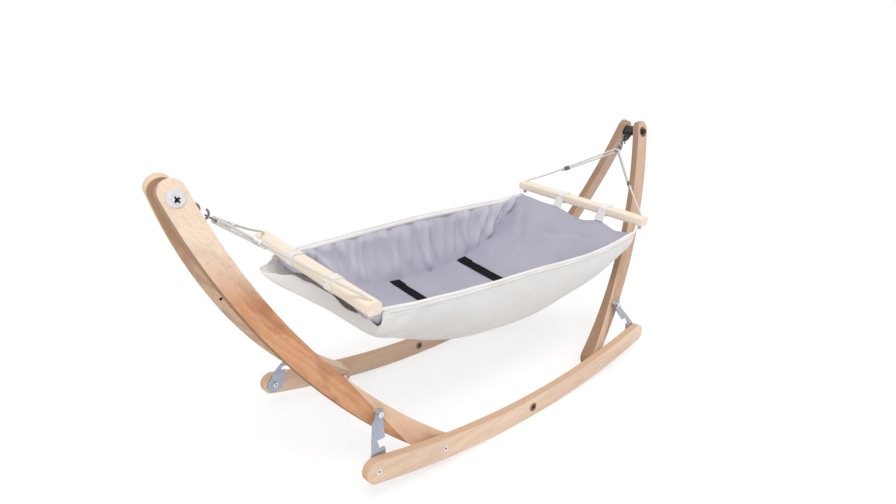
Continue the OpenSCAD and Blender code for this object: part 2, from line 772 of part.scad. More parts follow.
// Route of a rope at the left end: turn below the ring, bar's top, down through its hole.
function turn_mid(side) = on_pull(turn_l, 0) + [0, side * turn_y, 0];
function rope_top(side) = slant([-bar_x, side * rope_hole_y, bar_z + bar_h / 2 + rope_r]);
function rope_bottom(side) = slant([-bar_x, side * rope_hole_y, bar_z - bar_h / 2 - cloth_gap]);
function rope_run(side) = (rope_top(side) - turn_mid(side)) / norm(rope_top(side) - turn_mid(side));
function rope_side(side) = let (c = cross(rope_run(side), [0, 0, 1])) c / norm(c);
function rope_up(side) = cross(rope_side(side), rope_run(side));
// A point of the rope's main strand, a share k of the way from the ring to the bar.
function on_rope(side, k) = rope_top(side) * k
    + (turn_mid(side) + strand * rope_up(side)) * (1 - k);

module rope(end, side, k) {
    up = rope_up(side);
    run = rope_run(side);
    turn = [for (a = [0:30:180]) turn_mid(side) + strand * (cos(a) * up - sin(a) * run)];
    tail = on_rope(side, k) - 2 * strand * up + (adjuster_l + tail_l) * run;
    color(rope_white) at_end(end) tube(
        concat([rope_bottom(side), rope_top(side)], turn, [tail]), rope_r, rope_side(side));
}

module left_front_rope() rope(left, front, left_doubled);
module left_back_rope() rope(left, back, left_doubled);
module right_front_rope() rope(right, front, right_doubled);
module right_back_rope() rope(right, back, right_doubled);

module rod(p, run, l, r) {
    translate(p) rotate([0, acos(run.z), atan2(run.y, run.x)]) cylinder(h = l, r = r);
}

// A short sleeve that holds both strands.
module rope_adjuster(side, k) {
    run = rope_run(side);
    mid = on_rope(side, k) - strand * rope_up(side);
    difference() {
        rod(mid, run, adjuster_l, turn_r + 1.5);
        for (s = [-1, 1]) rod(mid + s * strand * rope_up(side) - run, run, adjuster_l + 2,
            rope_r + cloth_gap);
    }
}
module left_rope_adjusters() {
    color(steel) for (side = [front, back]) rope_adjuster(side, left_doubled);
}
module right_rope_adjusters() {
    color(steel) mirror([1, 0, 0]) for (side = [front, back]) rope_adjuster(side, right_doubled);
}

module rope_knots() {
    color(rope_white) for (end = [left, right], side = [front, back]) at_end(end)
        translate(rope_bottom(side) - [0, 0, knot_r]) sphere(r = knot_r, $fn = 24);
}

front_rail();
back_rail();
rail_eyelets();
leg_pivot_bolts();
leg_pivot_nuts();
brace_pins();
brace_pin_nuts();
left_front_leg();
left_back_leg();
left_apex_bolts();
left_apex_washers();
left_apex_block();
left_hook();
left_latch_studs();
right_front_leg();
right_back_leg();
right_apex_bolts();
right_apex_washers();
right_apex_block();
right_hook();
right_latch_studs();
left_front_brace();
left_back_brace();
right_front_brace();
right_back_brace();
foot_bar();
head_bar();
outer_sling();
lining();
base_pad();
front_piping();
back_piping();
foot_bar_loops();
head_bar_loops();
left_hanging_ring();
right_hanging_ring();
left_front_rope();
left_back_rope();
right_front_rope();
right_back_rope();
left_rope_adjusters();
right_rope_adjusters();
rope_knots();
foot_strap();
head_strap();
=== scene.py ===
import math
import bmesh
import bpy
import numpy as np
from mathutils import Matrix, Vector


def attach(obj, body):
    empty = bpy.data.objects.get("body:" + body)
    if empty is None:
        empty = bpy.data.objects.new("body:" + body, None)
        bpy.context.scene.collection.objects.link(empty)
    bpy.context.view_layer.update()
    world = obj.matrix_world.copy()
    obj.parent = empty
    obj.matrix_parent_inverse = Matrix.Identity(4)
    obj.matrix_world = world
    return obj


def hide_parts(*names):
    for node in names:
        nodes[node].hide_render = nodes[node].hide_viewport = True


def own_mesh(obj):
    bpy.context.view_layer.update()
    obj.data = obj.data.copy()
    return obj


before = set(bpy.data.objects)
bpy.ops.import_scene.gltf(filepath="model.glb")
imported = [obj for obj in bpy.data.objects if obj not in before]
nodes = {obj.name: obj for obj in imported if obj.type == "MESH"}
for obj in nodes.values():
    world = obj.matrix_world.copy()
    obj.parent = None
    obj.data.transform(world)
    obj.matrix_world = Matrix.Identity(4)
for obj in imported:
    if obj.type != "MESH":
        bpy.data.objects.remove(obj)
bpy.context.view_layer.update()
print("frame loaded:", len(nodes), "nodes")


# small helpers

def unit(a):
    a = np.asarray(a, float)
    return a / np.linalg.norm(a)


def ramp(low, high, t):
    k = np.clip((np.asarray(t, float) - low) / (high - low), 0, 1)
    return k * k * (3 - 2 * k)


def linked(name, data):
    piece = bpy.data.objects.new(name, data)
    bpy.context.scene.collection.objects.link(piece)
    return piece


def shadeFaces(mesh, smooth):
    mesh.polygons.foreach_set("use_smooth", [smooth] * len(mesh.polygons))


def meshObject(name, points, faces, uv=None, smooth=True):
    mesh = bpy.data.meshes.new(name)
    mesh.from_pydata([tuple(p) for p in points], [], [tuple(f) for f in faces])
    if uv is not None:
        layer = mesh.uv_layers.new(name="weave")
        corner = np.empty(len(mesh.loops), int)
        mesh.loops.foreach_get("vertex_index", corner)
        layer.data.foreach_set("uv", np.asarray(uv, np.float32)[corner].ravel())
    shadeFaces(mesh, smooth)
    return linked(name, mesh)


def evenGrid(rows, columns, reach=1.0):
    return np.meshgrid(np.linspace(-reach, reach, rows), np.linspace(-1, 1, columns), indexing="ij")


def gridFaces(rows, columns, closed=False):
    faces = []
    for i in range(rows - 1):
        for j in range(columns - (0 if closed else 1)):
            k = (j + 1) % columns
            faces.append((i * columns + j, i * columns + k, (i + 1) * columns + k, (i + 1) * columns + j))
    return faces


def measured(points, rows, columns):
    # a sheet's points row by row, their lengths along rows and columns, and its area
    cells = points.reshape(rows, columns, 3)
    run, arc = np.zeros((rows, columns)), np.zeros((rows, columns))
    run[1:] = np.cumsum(np.linalg.norm(np.diff(cells, axis=0), axis=2), axis=0)
    arc[:, 1:] = np.cumsum(np.linalg.norm(np.diff(cells, axis=1), axis=2), axis=1)
    ahead, aside = cells[1:, :-1] - cells[:-1, :-1], cells[:-1, 1:] - cells[:-1, :-1]
    return cells, run, arc, float(np.linalg.norm(np.cross(ahead, aside), axis=2).sum())


def outward(piece):
    shape = bmesh.new()
    shape.from_mesh(piece.data)
    bmesh.ops.recalc_face_normals(shape, faces=shape.faces)
    shape.to_mesh(piece.data)
    shape.free()
    return piece


def tubeObject(name, path, radius, sides):
    path = np.asarray(path, float)  # a round cord through the points, its ends closed
    count = len(path)
    course = np.gradient(path, axis=0)
    course /= np.linalg.norm(course, axis=1)[:, None]
    across = unit(np.cross(course[0], (0, 0, 1) if abs(course[0][2]) < 0.9 else (1, 0, 0)))
    points, uv, run = [], [], 0.0
    for i in range(count):
        across = unit(across - course[i] * across.dot(course[i]))
        up = np.cross(course[i], across)
        run += np.linalg.norm(path[i] - path[i - 1]) if i else 0
        for k in range(sides):
            turn = 2 * math.pi * k / sides
            points.append(path[i] + radius * (math.cos(turn) * across + math.sin(turn) * up))
            uv.append((k / sides, run))
    faces = gridFaces(count, sides, closed=True)
    for end, ring in ((0, 0), (count - 1, (count - 1) * sides)):
        points.append(path[end])
        uv.append((0, 0 if end == 0 else run))
        hub = len(points) - 1
        for k in range(sides):
            a, b = ring + k, ring + (k + 1) % sides
            faces.append((hub, b, a) if end == 0 else (hub, a, b))
    return outward(meshObject(name, points, faces, uv))


def smoothPath(points, step, rounds):
    points = [np.asarray(p, float) for p in points]  # corners cut, then spaced evenly
    for _ in range(rounds):
        cut = [points[0]]
        for a, b in zip(points[:-1], points[1:]):
            cut += [0.75 * a + 0.25 * b, 0.25 * a + 0.75 * b]
        points = cut + [points[-1]]
    line = np.array(points)
    run = np.concatenate([[0], np.cumsum(np.linalg.norm(np.diff(line, axis=0), axis=1))])
    wanted = np.linspace(0, run[-1], max(2, int(run[-1] / step)))
    return np.stack([np.interp(wanted, run, line[:, k]) for k in range(3)], axis=1)


def applyModifiers(piece):
    seen = bpy.context.evaluated_depsgraph_get()
    seen.update()
    mesh = bpy.data.meshes.new_from_object(piece.evaluated_get(seen))
    piece.modifiers.clear()
    piece.data = mesh
    return piece


def thicken(piece, thickness, offset=0):
    solid = piece.modifiers.new("thickness", "SOLIDIFY")
    solid.thickness, solid.offset, solid.use_even_offset = thickness, offset, True
    return applyModifiers(piece)


def joined(name, pieces):
    base = pieces[0]
    with bpy.context.temp_override(active_object=base, selected_editable_objects=pieces):
        bpy.ops.object.join()
    base.name = base.data.name = name
    return base


def coat(piece, material):
    piece.data.materials.clear()
    piece.data.materials.append(material)


def dress(piece, material, body, replaces=()):
    coat(piece, material)
    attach(piece, body)
    if replaces:
        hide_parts(*replaces)
    return piece


bothSides = (("front", -1), ("back", 1))  # along Y
bothEnds = (("foot", -1), ("head", 1))  # along X


# camera

view = {
    "place": (-0.9452, -0.9738, 0.7871),
    "ahead": (0.63548, 0.70740, -0.30944),
    "roll": 0.0021,
    "lens": 23.95,
}


def makeCamera():
    ahead = Vector(view["ahead"]).normalized()
    right = ahead.cross(Vector((0, 0, 1))).normalized()
    up = right.cross(ahead)
    c, s = math.cos(view["roll"]), math.sin(view["roll"])
    right, up = right * c + up * s, up * c - right * s
    camera = linked("camera", bpy.data.cameras.new("camera"))
    camera.matrix_world = Matrix.Translation(view["place"]) @ Matrix((right, up, -ahead)).transposed().to_4x4()
    camera.data.lens, camera.data.sensor_width = view["lens"], 36
    camera.data.clip_start, camera.data.clip_end = 0.05, 60
    bpy.context.scene.camera = camera


makeCamera()


# materials

def newMaterial(name):
    material = bpy.data.materials.new(name)
    material.use_nodes = True
    tree = material.node_tree
    return material, tree, tree.nodes["Principled BSDF"]


def feed(tree, node, inputs):
    for key, value in inputs.items():
        if isinstance(value, bpy.types.NodeSocket):
            tree.links.new(value, node.inputs[key])
        else:
            node.inputs[key].default_value = value


def put(tree, kind, inputs=None, **settings):
    node = tree.nodes.new(kind)
    for key, value in settings.items():
        setattr(node, key, value)
    feed(tree, node, inputs or {})
    return node


def math2(tree, operation, a, b=0.0):
    return put(tree, "ShaderNodeMath", {0: a, 1: b}, operation=operation).outputs[0]


def times(tree, a, b):
    return math2(tree, "MULTIPLY", a, b)


def plus(tree, a, b):
    return math2(tree, "ADD", a, b)


def minus(tree, a, b):
    return math2(tree, "SUBTRACT", a, b)


def wave(tree, value, period):
    return math2(tree, "SINE", times(tree, value, 2 * math.pi / period))


def apart(tree, vector):
    return put(tree, "ShaderNodeSeparateXYZ", {0: vector}).outputs


def blendColours(tree, share, a, b, mode="MIX"):
    a, b = (c if isinstance(c, bpy.types.NodeSocket) else (*c, 1) for c in (a, b))
    mix = put(tree, "ShaderNodeMix", {0: share, 6: a, 7: b}, data_type="RGBA", blend_type=mode, clamp_factor=True)
    return mix.outputs[2]


def stretch(tree, value, low, high, first=0.0, last=1.0):
    return put(tree, "ShaderNodeMapRange", {"Value": value, "From Min": low, "From Max": high,
               "To Min": first, "To Max": last}, clamp=True).outputs[0]


def tint(tree, colour, paint, value, low, high, first=0.0, last=1.0):
    # colour goes over to paint, by the shares first and last, while value climbs from low to high
    return blendColours(tree, stretch(tree, value, low, high, first, last), colour, paint)


def mapped(tree, source, scale=(1, 1, 1), turn=(0, 0, 0), move=(0, 0, 0)):
    return put(tree, "ShaderNodeMapping", {"Vector": source, "Scale": scale, "Rotation": turn,
               "Location": move}).outputs[0]


def noiseAt(tree, where, scale, detail, rough=0.5, distortion=0.0, move=(0, 0, 0)):
    if isinstance(scale, tuple):  # a scale for each axis draws the pattern out
        where, scale = mapped(tree, where, scale, move=move), 1.0
    return put(tree, "ShaderNodeTexNoise", {"Vector": where, "Scale": scale, "Detail": detail,
               "Roughness": rough, "Distortion": distortion}).outputs[0]


def bump(tree, height, strength, distance, **below):
    return put(tree, "ShaderNodeBump", {"Height": height, "Strength": strength, "Distance": distance,
               **below}).outputs[0]


def shaded(colour, by):
    return tuple(min(1, c * by) for c in colour)


legWood = {"arrisShade": (0.70, 0.60, 0.50), "rings": 66.0, "warp": 0.034, "rough": 0.46, "figure": 1.0}
woods = {  # linear colours, rings in a metre; narrow is a board's narrow face, its own edge tone with painted shade (painted light on the left back leg), arris darkens its eased edges as painted shade, top its pale end
    "leftFrontLeg": {**legWood, "pale": (0.70, 0.375, 0.210), "mid": (0.52, 0.225, 0.106), "dark": (0.30, 0.115, 0.048),
                     "top": (0.95, 0.79, 0.64), "narrowToneAndShading": (0.30, 0.17, 0.09)},
    "leftBackLeg": {**legWood, "pale": (0.80, 0.59, 0.44), "mid": (0.68, 0.46, 0.32), "dark": (0.42, 0.25, 0.15),
                    "top": (0.48, 0.29, 0.17), "narrowToneAndShading": (0.90, 0.72, 0.52)},
    # the right legs' colours are painted darker, as painted shade
    "rightLeg": {**legWood, "pale": (0.64, 0.42, 0.29), "mid": (0.51, 0.30, 0.185), "dark": (0.34, 0.18, 0.10),
                 "top": (0.68, 0.49, 0.37), "narrowToneAndShading": (0.34, 0.21, 0.13), "rough": 0.42, "figure": 0.7},
    "rail": {"pale": (0.85, 0.66, 0.51), "mid": (0.76, 0.53, 0.38), "dark": (0.52, 0.32, 0.20),
             "narrowToneAndShading": (0.62, 0.40, 0.26), "arrisShade": (0.60, 0.46, 0.36),
             "rings": 110.0, "warp": 0.012, "rough": 0.45, "figure": 0.22},
    "bar": {"pale": (0.95, 0.85, 0.72), "mid": (0.91, 0.79, 0.63), "dark": (0.72, 0.54, 0.37),
            "narrowToneAndShading": (0.90, 0.80, 0.66), "arrisShade": (0.90, 0.84, 0.76),
            "rings": 132.0, "warp": 0.006, "rough": 0.50, "figure": 0.10},
}
# the sawn foot's colour is partly its own paler wood and partly painted light; the hole's colour is painted shade
sawnToneAndLight, holeShade = (0.93, 0.72, 0.54), (0.03, 0.015, 0.01)


def woodMaterial(name, kind, turn=(0, 0, 0), move=(0, 0, 0), paleTop=None):
    facts = woods[kind]
    material, tree, shader = newMaterial(name)
    where = put(tree, "ShaderNodeTexCoord").outputs["Object"]
    along = mapped(tree, where, turn=turn, move=move)  # X runs with the grain
    waver = noiseAt(tree, along, (3.0, 11, 11), 2.0)
    sway = put(tree, "ShaderNodeCombineXYZ", {"Y": times(tree, waver, facts["warp"] * 4),
               "Z": times(tree, waver, facts["warp"] * 3)})
    bent = put(tree, "ShaderNodeVectorMath", {0: sway.outputs[0], 1: mapped(tree, along, (0, 1, 1))}, operation="ADD")
    radius = put(tree, "ShaderNodeVectorMath", {0: bent.outputs[0]}, operation="LENGTH").outputs["Value"]
    rings = math2(tree, "FRACT", times(tree, radius, facts["rings"]))
    late = stretch(tree, rings, 0.25, 0.95)  # summer wood darkens towards each ring's edge
    fibres = noiseAt(tree, along, (9, 420, 420), 2.0, 0.6)
    pores = noiseAt(tree, along, (60, 900, 900), 1.0)
    patches = noiseAt(tree, along, (4.0, 16, 16), 3.0, 0.6)
    streak = noiseAt(tree, along, (2.2, 46, 46), 2.0, 0.55, 0.4)
    flame = noiseAt(tree, along, (7.0, 24, 24), 1.0, 0.5, 1.2, move=(0.31, 0.7, 0.2))
    colour = blendColours(tree, times(tree, late, 0.42), facts["pale"], facts["mid"])
    colour = tint(tree, colour, facts["mid"], patches, 0.40, 0.70, 0.0, 0.75)
    colour = tint(tree, colour, facts["dark"], streak, 0.50, 0.72, 0.0, 0.60 * facts["figure"])
    colour = tint(tree, colour, facts["dark"], flame, 0.52, 0.66, 0.0, 0.55 * facts["figure"])
    if paleTop:
        cloudy = plus(tree, apart(tree, where)["Z"], times(tree, minus(tree, patches, 0.5), 0.16))
        colour = tint(tree, colour, facts["top"], cloudy, *paleTop, 0.0, 0.85)
    colour = tint(tree, colour, facts["dark"], fibres, 0.50, 0.80, 0.0, 0.32)
    colour = tint(tree, colour, facts["dark"], pores, 0.66, 0.78, 0.0, 0.40)
    # side is -1 on a sawn foot, 0 on a broad face, 1 on a narrow one, 2 on an eased edge and 3 in the screw hole; the
    # tints below paint light and shade onto all but the broad faces
    side = put(tree, "ShaderNodeAttribute", attribute_name="side").outputs["Fac"]
    # partly the sawn foot's own paler wood, partly painted light where its faces turn to the light
    colour = tint(tree, colour, sawnToneAndLight, side, -0.8, -0.2, 0.60, 0.0)
    # the narrow faces: their own edge tone with painted shade, and painted light on the left back leg's
    colour = tint(tree, colour, facts["narrowToneAndShading"], side, 0.2, 0.8, 0.0, 0.75)
    # painted shade along the eased edges
    colour = tint(tree, colour, blendColours(tree, 1.0, colour, facts["arrisShade"], "MULTIPLY"), side, 1.2, 1.8)
    # painted shade in the screw hole
    colour = tint(tree, colour, holeShade, side, 2.2, 2.8)
    dry = times(tree, stretch(tree, side, 0.2, 0.8), 0.40)  # sawn edges take less varnish
    rough = plus(tree, dry, stretch(tree, fibres, 0.2, 0.9, facts["rough"] - 0.06, facts["rough"] + 0.12))
    grain = plus(tree, times(tree, fibres, 0.7), times(tree, late, 0.3))
    feed(tree, shader, {"Base Color": colour, "Roughness": rough, "Specular IOR Level": 0.32,
                        "Normal": bump(tree, grain, 0.16, 0.0006)})
    return material


metals = {
    "brace": {"colour": (0.43, 0.46, 0.54), "rough": 0.40, "spangle": 0.05},
    "bright": {"colour": (0.78, 0.79, 0.81), "rough": 0.30, "spangle": 0.08},
    "hook": {"colour": (0.26, 0.26, 0.28), "rough": 0.34, "spangle": 0.10},
    "bronze": {"colour": (0.22, 0.16, 0.12), "rough": 0.36, "spangle": 0.10},
    "black": {"colour": (0.045, 0.040, 0.040), "rough": 0.38, "spangle": 0.30, "metallic": 0.35},
}
heads = {  # the bolt heads' sockets and cross slots, on axes along Y
    "pivot": {"x": 0.268, "z": 0.041037, "radius": 0.0022},
    "pin": {"x": 0.430, "z": 0.069772, "radius": 0.0018},
    "apex": {"x": -0.661, "z": 0.582, "halfLong": 0.0052, "halfWide": 0.0015, "turn": math.radians(32)},
}
# painted shade for the sockets of the bolt heads, and painted shadow for the cross slots
socketShade, shadow = (0.03, 0.03, 0.035), (0.02, 0.02, 0.02)


def metalMaterial(name, kind, socket=None, slot=None):
    facts, base = metals[kind], metals[kind]["colour"]
    material, tree, shader = newMaterial(name)
    where = put(tree, "ShaderNodeTexCoord").outputs["Object"]
    flakes = put(tree, "ShaderNodeTexVoronoi", {"Vector": where, "Scale": 160.0}, feature="F1").outputs["Color"]
    grey = put(tree, "ShaderNodeSeparateColor", {0: flakes}).outputs[0]
    scuffs = noiseAt(tree, where, (40, 40, 400), 4.0, 0.65)
    colour = blendColours(tree, grey, shaded(base, 1 - facts["spangle"]), shaded(base, 1 + facts["spangle"]))
    colour = tint(tree, colour, shaded(base, 0.7), scuffs, 0.60, 0.75, 0.0, 0.5)
    if socket:  # painted shade in the sockets at both ends of the stand, so X counts without its sign
        flat = apart(tree, where)
        out = math2(tree, "ABSOLUTE", minus(tree, math2(tree, "ABSOLUTE", flat["X"]), socket["x"]))
        off = put(tree, "ShaderNodeCombineXYZ", {"X": out, "Z": minus(tree, flat["Z"], socket["z"])}).outputs[0]
        far = put(tree, "ShaderNodeVectorMath", {0: off}, operation="LENGTH").outputs["Value"]
        colour = tint(tree, colour, socketShade, far, socket["radius"], socket["radius"] + 0.0004, 1.0, 0.0)
    if slot:  # two dark arms
        local = mapped(tree, where, move=(-slot["x"], 0, -slot["z"]))
        turned = put(tree, "ShaderNodeVectorRotate", {"Vector": local, "Axis": (0, 1, 0), "Angle": slot["turn"]},
                     rotation_type="AXIS_ANGLE")
        flat = apart(tree, turned.outputs[0])
        reach = [math2(tree, "ABSOLUTE", flat[axis]) for axis in ("X", "Z")]
        arms = [math2(tree, "MAXIMUM", minus(tree, a, slot["halfWide"]), minus(tree, b, slot["halfLong"]))
                for a, b in (reach, reach[::-1])]
        colour = tint(tree, colour, shadow, math2(tree, "MINIMUM", *arms), 0.0, 0.0003, 1.0, 0.0)
    rough = stretch(tree, scuffs, 0.3, 0.8, facts["rough"] - 0.08, facts["rough"] + 0.18)
    feed(tree, shader, {"Base Color": colour, "Roughness": rough, "Metallic": facts.get("metallic", 1.0),
                        "Normal": bump(tree, scuffs, 0.12, 0.0003)})
    return material


cloths = {  # thread is the weave's width and depth its height, in metres
    "canvas": {"colour": (0.950, 0.928, 0.915), "shade": (0.86, 0.835, 0.82), "thread": 0.0011, "depth": 0.0003,
               "sheen": 0.25, "through": 0.6},
    "lining": {"colour": (0.455, 0.445, 0.530), "shade": (0.375, 0.365, 0.450), "wall": (0.575, 0.565, 0.645),
               "thread": 0.0008, "depth": 0.0002, "sheen": 0.35},
    "piping": {"colour": (0.93, 0.915, 0.90), "shade": (0.80, 0.785, 0.77), "thread": 0.0010, "depth": 0.0003,
               "sheen": 0.30},
    "pad": {"colour": (0.62, 0.61, 0.64), "shade": (0.52, 0.51, 0.54), "thread": 0.0012, "depth": 0.0003,
            "sheen": 0.20},
    "loop": {"colour": (0.90, 0.88, 0.85), "shade": (0.76, 0.74, 0.71), "thread": 0.0010, "depth": 0.0003,
             "sheen": 0.25},
}


def clothMaterial(kind):
    facts = cloths[kind]
    material, tree, shader = newMaterial(kind + " cloth")
    coordinates = put(tree, "ShaderNodeTexCoord").outputs
    uv, where = coordinates["UV"], coordinates["Object"]
    flat = apart(tree, uv)  # UV in metres, so the threads keep their size
    over = times(tree, wave(tree, flat["X"], 2 * facts["thread"]), wave(tree, flat["Y"], 2 * facts["thread"]))
    threads = times(tree, plus(tree, over, 1.0), 0.5)
    slub = noiseAt(tree, uv, (260, 30, 1), 3.0, 0.6)
    colour = tint(tree, facts["shade"], facts["colour"], noiseAt(tree, where, 9.0, 4.0, 0.55), 0.35, 0.68)
    colour = blendColours(tree, 0.6, facts["colour"], colour)
    if "wall" in facts:  # the walls are one layer thick and look paler than the floor over its pad
        wall = put(tree, "ShaderNodeAttribute", attribute_name="wall").outputs["Fac"]
        colour = blendColours(tree, wall, colour, facts["wall"])
    colour = blendColours(tree, times(tree, threads, 0.16), colour, facts["shade"])
    colour = tint(tree, colour, facts["shade"], slub, 0.55, 0.8, 0.0, 0.22)
    crumpled = bump(tree, noiseAt(tree, where, 55.0, 4.0, 0.55), 0.25, 0.002)
    woven = bump(tree, plus(tree, threads, times(tree, slub, 0.5)), 0.35, facts["depth"], Normal=crumpled)
    feed(tree, shader, {"Base Color": colour, "Roughness": 0.88, "Specular IOR Level": 0.25, "Normal": woven,
                        "Sheen Weight": facts["sheen"], "Sheen Roughness": 0.45})
    feed(tree, shader, {"Subsurface Weight": facts.get("through", 0.0),  # daylight glows through the thin cloth
                        "Subsurface Radius": (1.0, 0.95, 0.90), "Subsurface Scale": 0.0035})
    return material


def webbingMaterial(name):
    material, tree, shader = newMaterial(name)
    coordinates = put(tree, "ShaderNodeTexCoord").outputs
    flat = apart(tree, coordinates["UV"])
    ribs, picks = wave(tree, flat["X"], 0.0022), wave(tree, flat["Y"], 0.0016)
    high = plus(tree, times(tree, ribs, 0.6), times(tree, picks, 0.4))
    dust = noiseAt(tree, coordinates["Object"], 60.0, 4.0, 0.6)
    # darker in the grooves of the weave, as painted shade
    colour = tint(tree, (0.003, 0.003, 0.004), (0.010, 0.010, 0.012), high, -1.0, 1.0)
    colour = tint(tree, colour, (0.025, 0.025, 0.028), dust, 0.55, 0.75, 0.0, 0.15)
    feed(tree, shader, {"Base Color": colour, "Roughness": 0.72, "Specular IOR Level": 0.12,
                        "Normal": bump(tree, high, 0.5, 0.0003)})
    return material


def ropeMaterial(name):
    material, tree, shader = newMaterial(name)
    coordinates = put(tree, "ShaderNodeTexCoord").outputs
    flat = apart(tree, coordinates["UV"])
    lay = []
    for hand in (1, -1):  # strands laid both ways round
        turn, rise = times(tree, flat["X"], hand * 8 * math.pi), times(tree, flat["Y"], 2 * math.pi / 0.0060)
        lay.append(math2(tree, "SINE", plus(tree, turn, rise)))
    plait = math2(tree, "MAXIMUM", *lay)
    fuzz = noiseAt(tree, coordinates["Object"], 900.0, 2.0)
    # darker in the grooves between the strands, as painted shade
    colour = tint(tree, (0.62, 0.59, 0.55), (0.91, 0.89, 0.86), plait, 0.0, 1.0)
    colour = tint(tree, colour, (0.70, 0.67, 0.63), fuzz, 0.5, 0.8, 0.0, 0.3)
    feed(tree, shader, {"Base Color": colour, "Roughness": 0.85, "Sheen Weight": 0.2,
                        "Normal": bump(tree, plait, 0.8, 0.0006)})
    return material


def threadMaterial(name, colour):
    material, tree, shader = newMaterial(name)
    twist = noiseAt(tree, put(tree, "ShaderNodeTexCoord").outputs["Object"], 1500.0, 2.0)
    feed(tree, shader, {"Base Color": tint(tree, shaded(colour, 0.8), colour, twist, 0.35, 0.65), "Roughness": 0.7})
    return material


canvasCloth, liningCloth, pipingCloth, padCloth, loopCloth = [clothMaterial(kind) for kind in cloths]
strapWebbing = webbingMaterial("strap webbing")
ropeFibre = ropeMaterial("rope fibre")
braceSteel = metalMaterial("brace steel", "brace")
brightSteel = metalMaterial("bright steel", "bright")
hookSteel = metalMaterial("hook steel", "hook")
blackSteel = metalMaterial("black steel", "black")
bronzeSteel = metalMaterial("bronze ring", "bronze")
crossSteel = metalMaterial("apex bolt steel", "bright", slot=heads["apex"])
pivotSteel = metalMaterial("pivot bolt steel", "bright", socket=heads["pivot"])
pinSteel = metalMaterial("brace pin steel", "bright", socket=heads["pin"])
whiteThread = threadMaterial("white thread", (0.85, 0.84, 0.82))
blackThread = threadMaterial("black thread", (0.035, 0.035, 0.04))
print("materials ready")


# ropes

hang = {  # metres, as in the part's source
    "slant": math.radians(4.7), "barZ": 0.404, "barX": 0.422, "barHigh": 0.024, "barWide": 0.030,
    "apexX": 0.661, "apexZ": 0.583, "pull": math.radians(38), "ringL": 0.079100, "ringMid": 0.00975, "ringWire": 0.0035,
}
rope = {
    "diameter": 0.005, "strand": 0.0029, "holeY": 0.197, "turnY": 0.0057, "wrap": 0.0046, "gap": 0.0003, "lead": 0.012,
    "leftDoubled": 0.22, "rightDoubled": 0.50, "sleeve": 0.014, "sleeveWall": 0.0012, "tail": 0.010, "sag": 0.0025,
}


def slanted(p):
    p = np.asarray(p, float)  # the cradle hangs turned a little about its bars' axis
    c, s = math.cos(hang["slant"]), math.sin(hang["slant"])
    y, z = p[..., 1], p[..., 2] - hang["barZ"]
    return np.stack([p[..., 0], y * c - z * s, hang["barZ"] + y * s + z * c], axis=-1)


def onPull(l):
    # a point on the left pull's line, so far from the apex bolt
    return np.array([-hang["apexX"] + l * math.cos(hang["pull"]), 0.0, hang["apexZ"] - l * math.sin(hang["pull"])])


def roundRing(side, clear):
    # beside that line, so far from the middle of the hanging ring
    reach = onPull(hang["ringL"] + math.sqrt(clear ** 2 - rope["turnY"] ** 2))
    return reach + np.array([0, side * rope["turnY"], 0])


def ropeFrame(side):
    clear = hang["ringMid"] + hang["ringWire"] / 2 + rope["gap"] + (rope["strand"] + rope["diameter"] / 2)
    turn = roundRing(side, clear)
    top = slanted([-hang["barX"], side * rope["holeY"], hang["barZ"] + hang["barHigh"] / 2 + rope["diameter"] / 2])
    run = unit(top - turn)
    flank = unit(np.cross(run, (0, 0, 1)))
    return turn, top, run, np.cross(flank, run)


def ropeRoute(side, doubled):
    turn, top, run, up = ropeFrame(side)
    bottom = slanted([-hang["barX"], side * rope["holeY"], hang["barZ"] - hang["barHigh"] / 2 - rope["gap"]])
    wire = roundRing(side, hang["ringMid"])
    mid = top * doubled + (turn + rope["strand"] * up) * (1 - doubled)  # where the doubled part ends
    line = [bottom, bottom + (top - bottom) * 0.8, top + (mid - top) * 0.06]
    for t in np.linspace(0.2, 1.0, 9):
        line.append(top + (mid - top) * t - np.array([0, 0, rope["sag"] * math.sin(math.pi * t)]))
    line.append(mid - run * rope["lead"])
    for a in np.radians(np.linspace(20, 160, 9)):  # once round the ring's wire
        line.append(wire + rope["wrap"] * (math.cos(a) * up - math.sin(a) * run))
    low = mid - 2 * rope["strand"] * up
    line += [low - run * rope["lead"], low, low + run * (rope["sleeve"] + 0.4 * rope["tail"]),
             low + run * (rope["sleeve"] + rope["tail"])]
    return smoothPath(line, step=0.0024, rounds=3), mid - rope["strand"] * up, run, up


def mirrorX(points):
    return np.asarray(points) * np.array([-1, 1, 1])


def sleeveObject(name, mid, run, up, flip):
    flank = np.cross(run, up)
    wide = rope["diameter"] / 2 + rope["sleeveWall"]
    half = rope["strand"] + wide
    stations = [(-0.0002, 0.86), (0.0008, 1.0), (0.0045, 1.0), (0.0052, 0.90), (0.0088, 0.90), (0.0095, 1.0),
                (rope["sleeve"] - 0.0008, 1.0), (rope["sleeve"] + 0.0002, 0.86)]  # place along the rope and girth
    corners, points = 24, []
    for l, grow in stations:
        for k in range(corners):
            a = 2 * math.pi * k / corners
            c, s = math.cos(a), math.sin(a)
            squeeze = (abs(c) ** 3 + abs(s) ** 3) ** (-1 / 3)
            points.append(mid + run * l + (up * c * half + flank * s * wide) * squeeze * grow)
    faces = gridFaces(len(stations), corners, closed=True)
    faces += [tuple(range(corners))[::-1], tuple(range((len(stations) - 1) * corners, len(stations) * corners))]
    piece = outward(meshObject(name, mirrorX(points) if flip else points, faces, smooth=False))
    edge = piece.modifiers.new("edge", "BEVEL")
    edge.width, edge.segments, edge.limit_method = 0.0004, 2, "ANGLE"
    return applyModifiers(piece)


foldEnd = {"turn": math.radians(10.0), "footX": 0.268, "footZ": 0.041037, "shortest": 0.04}


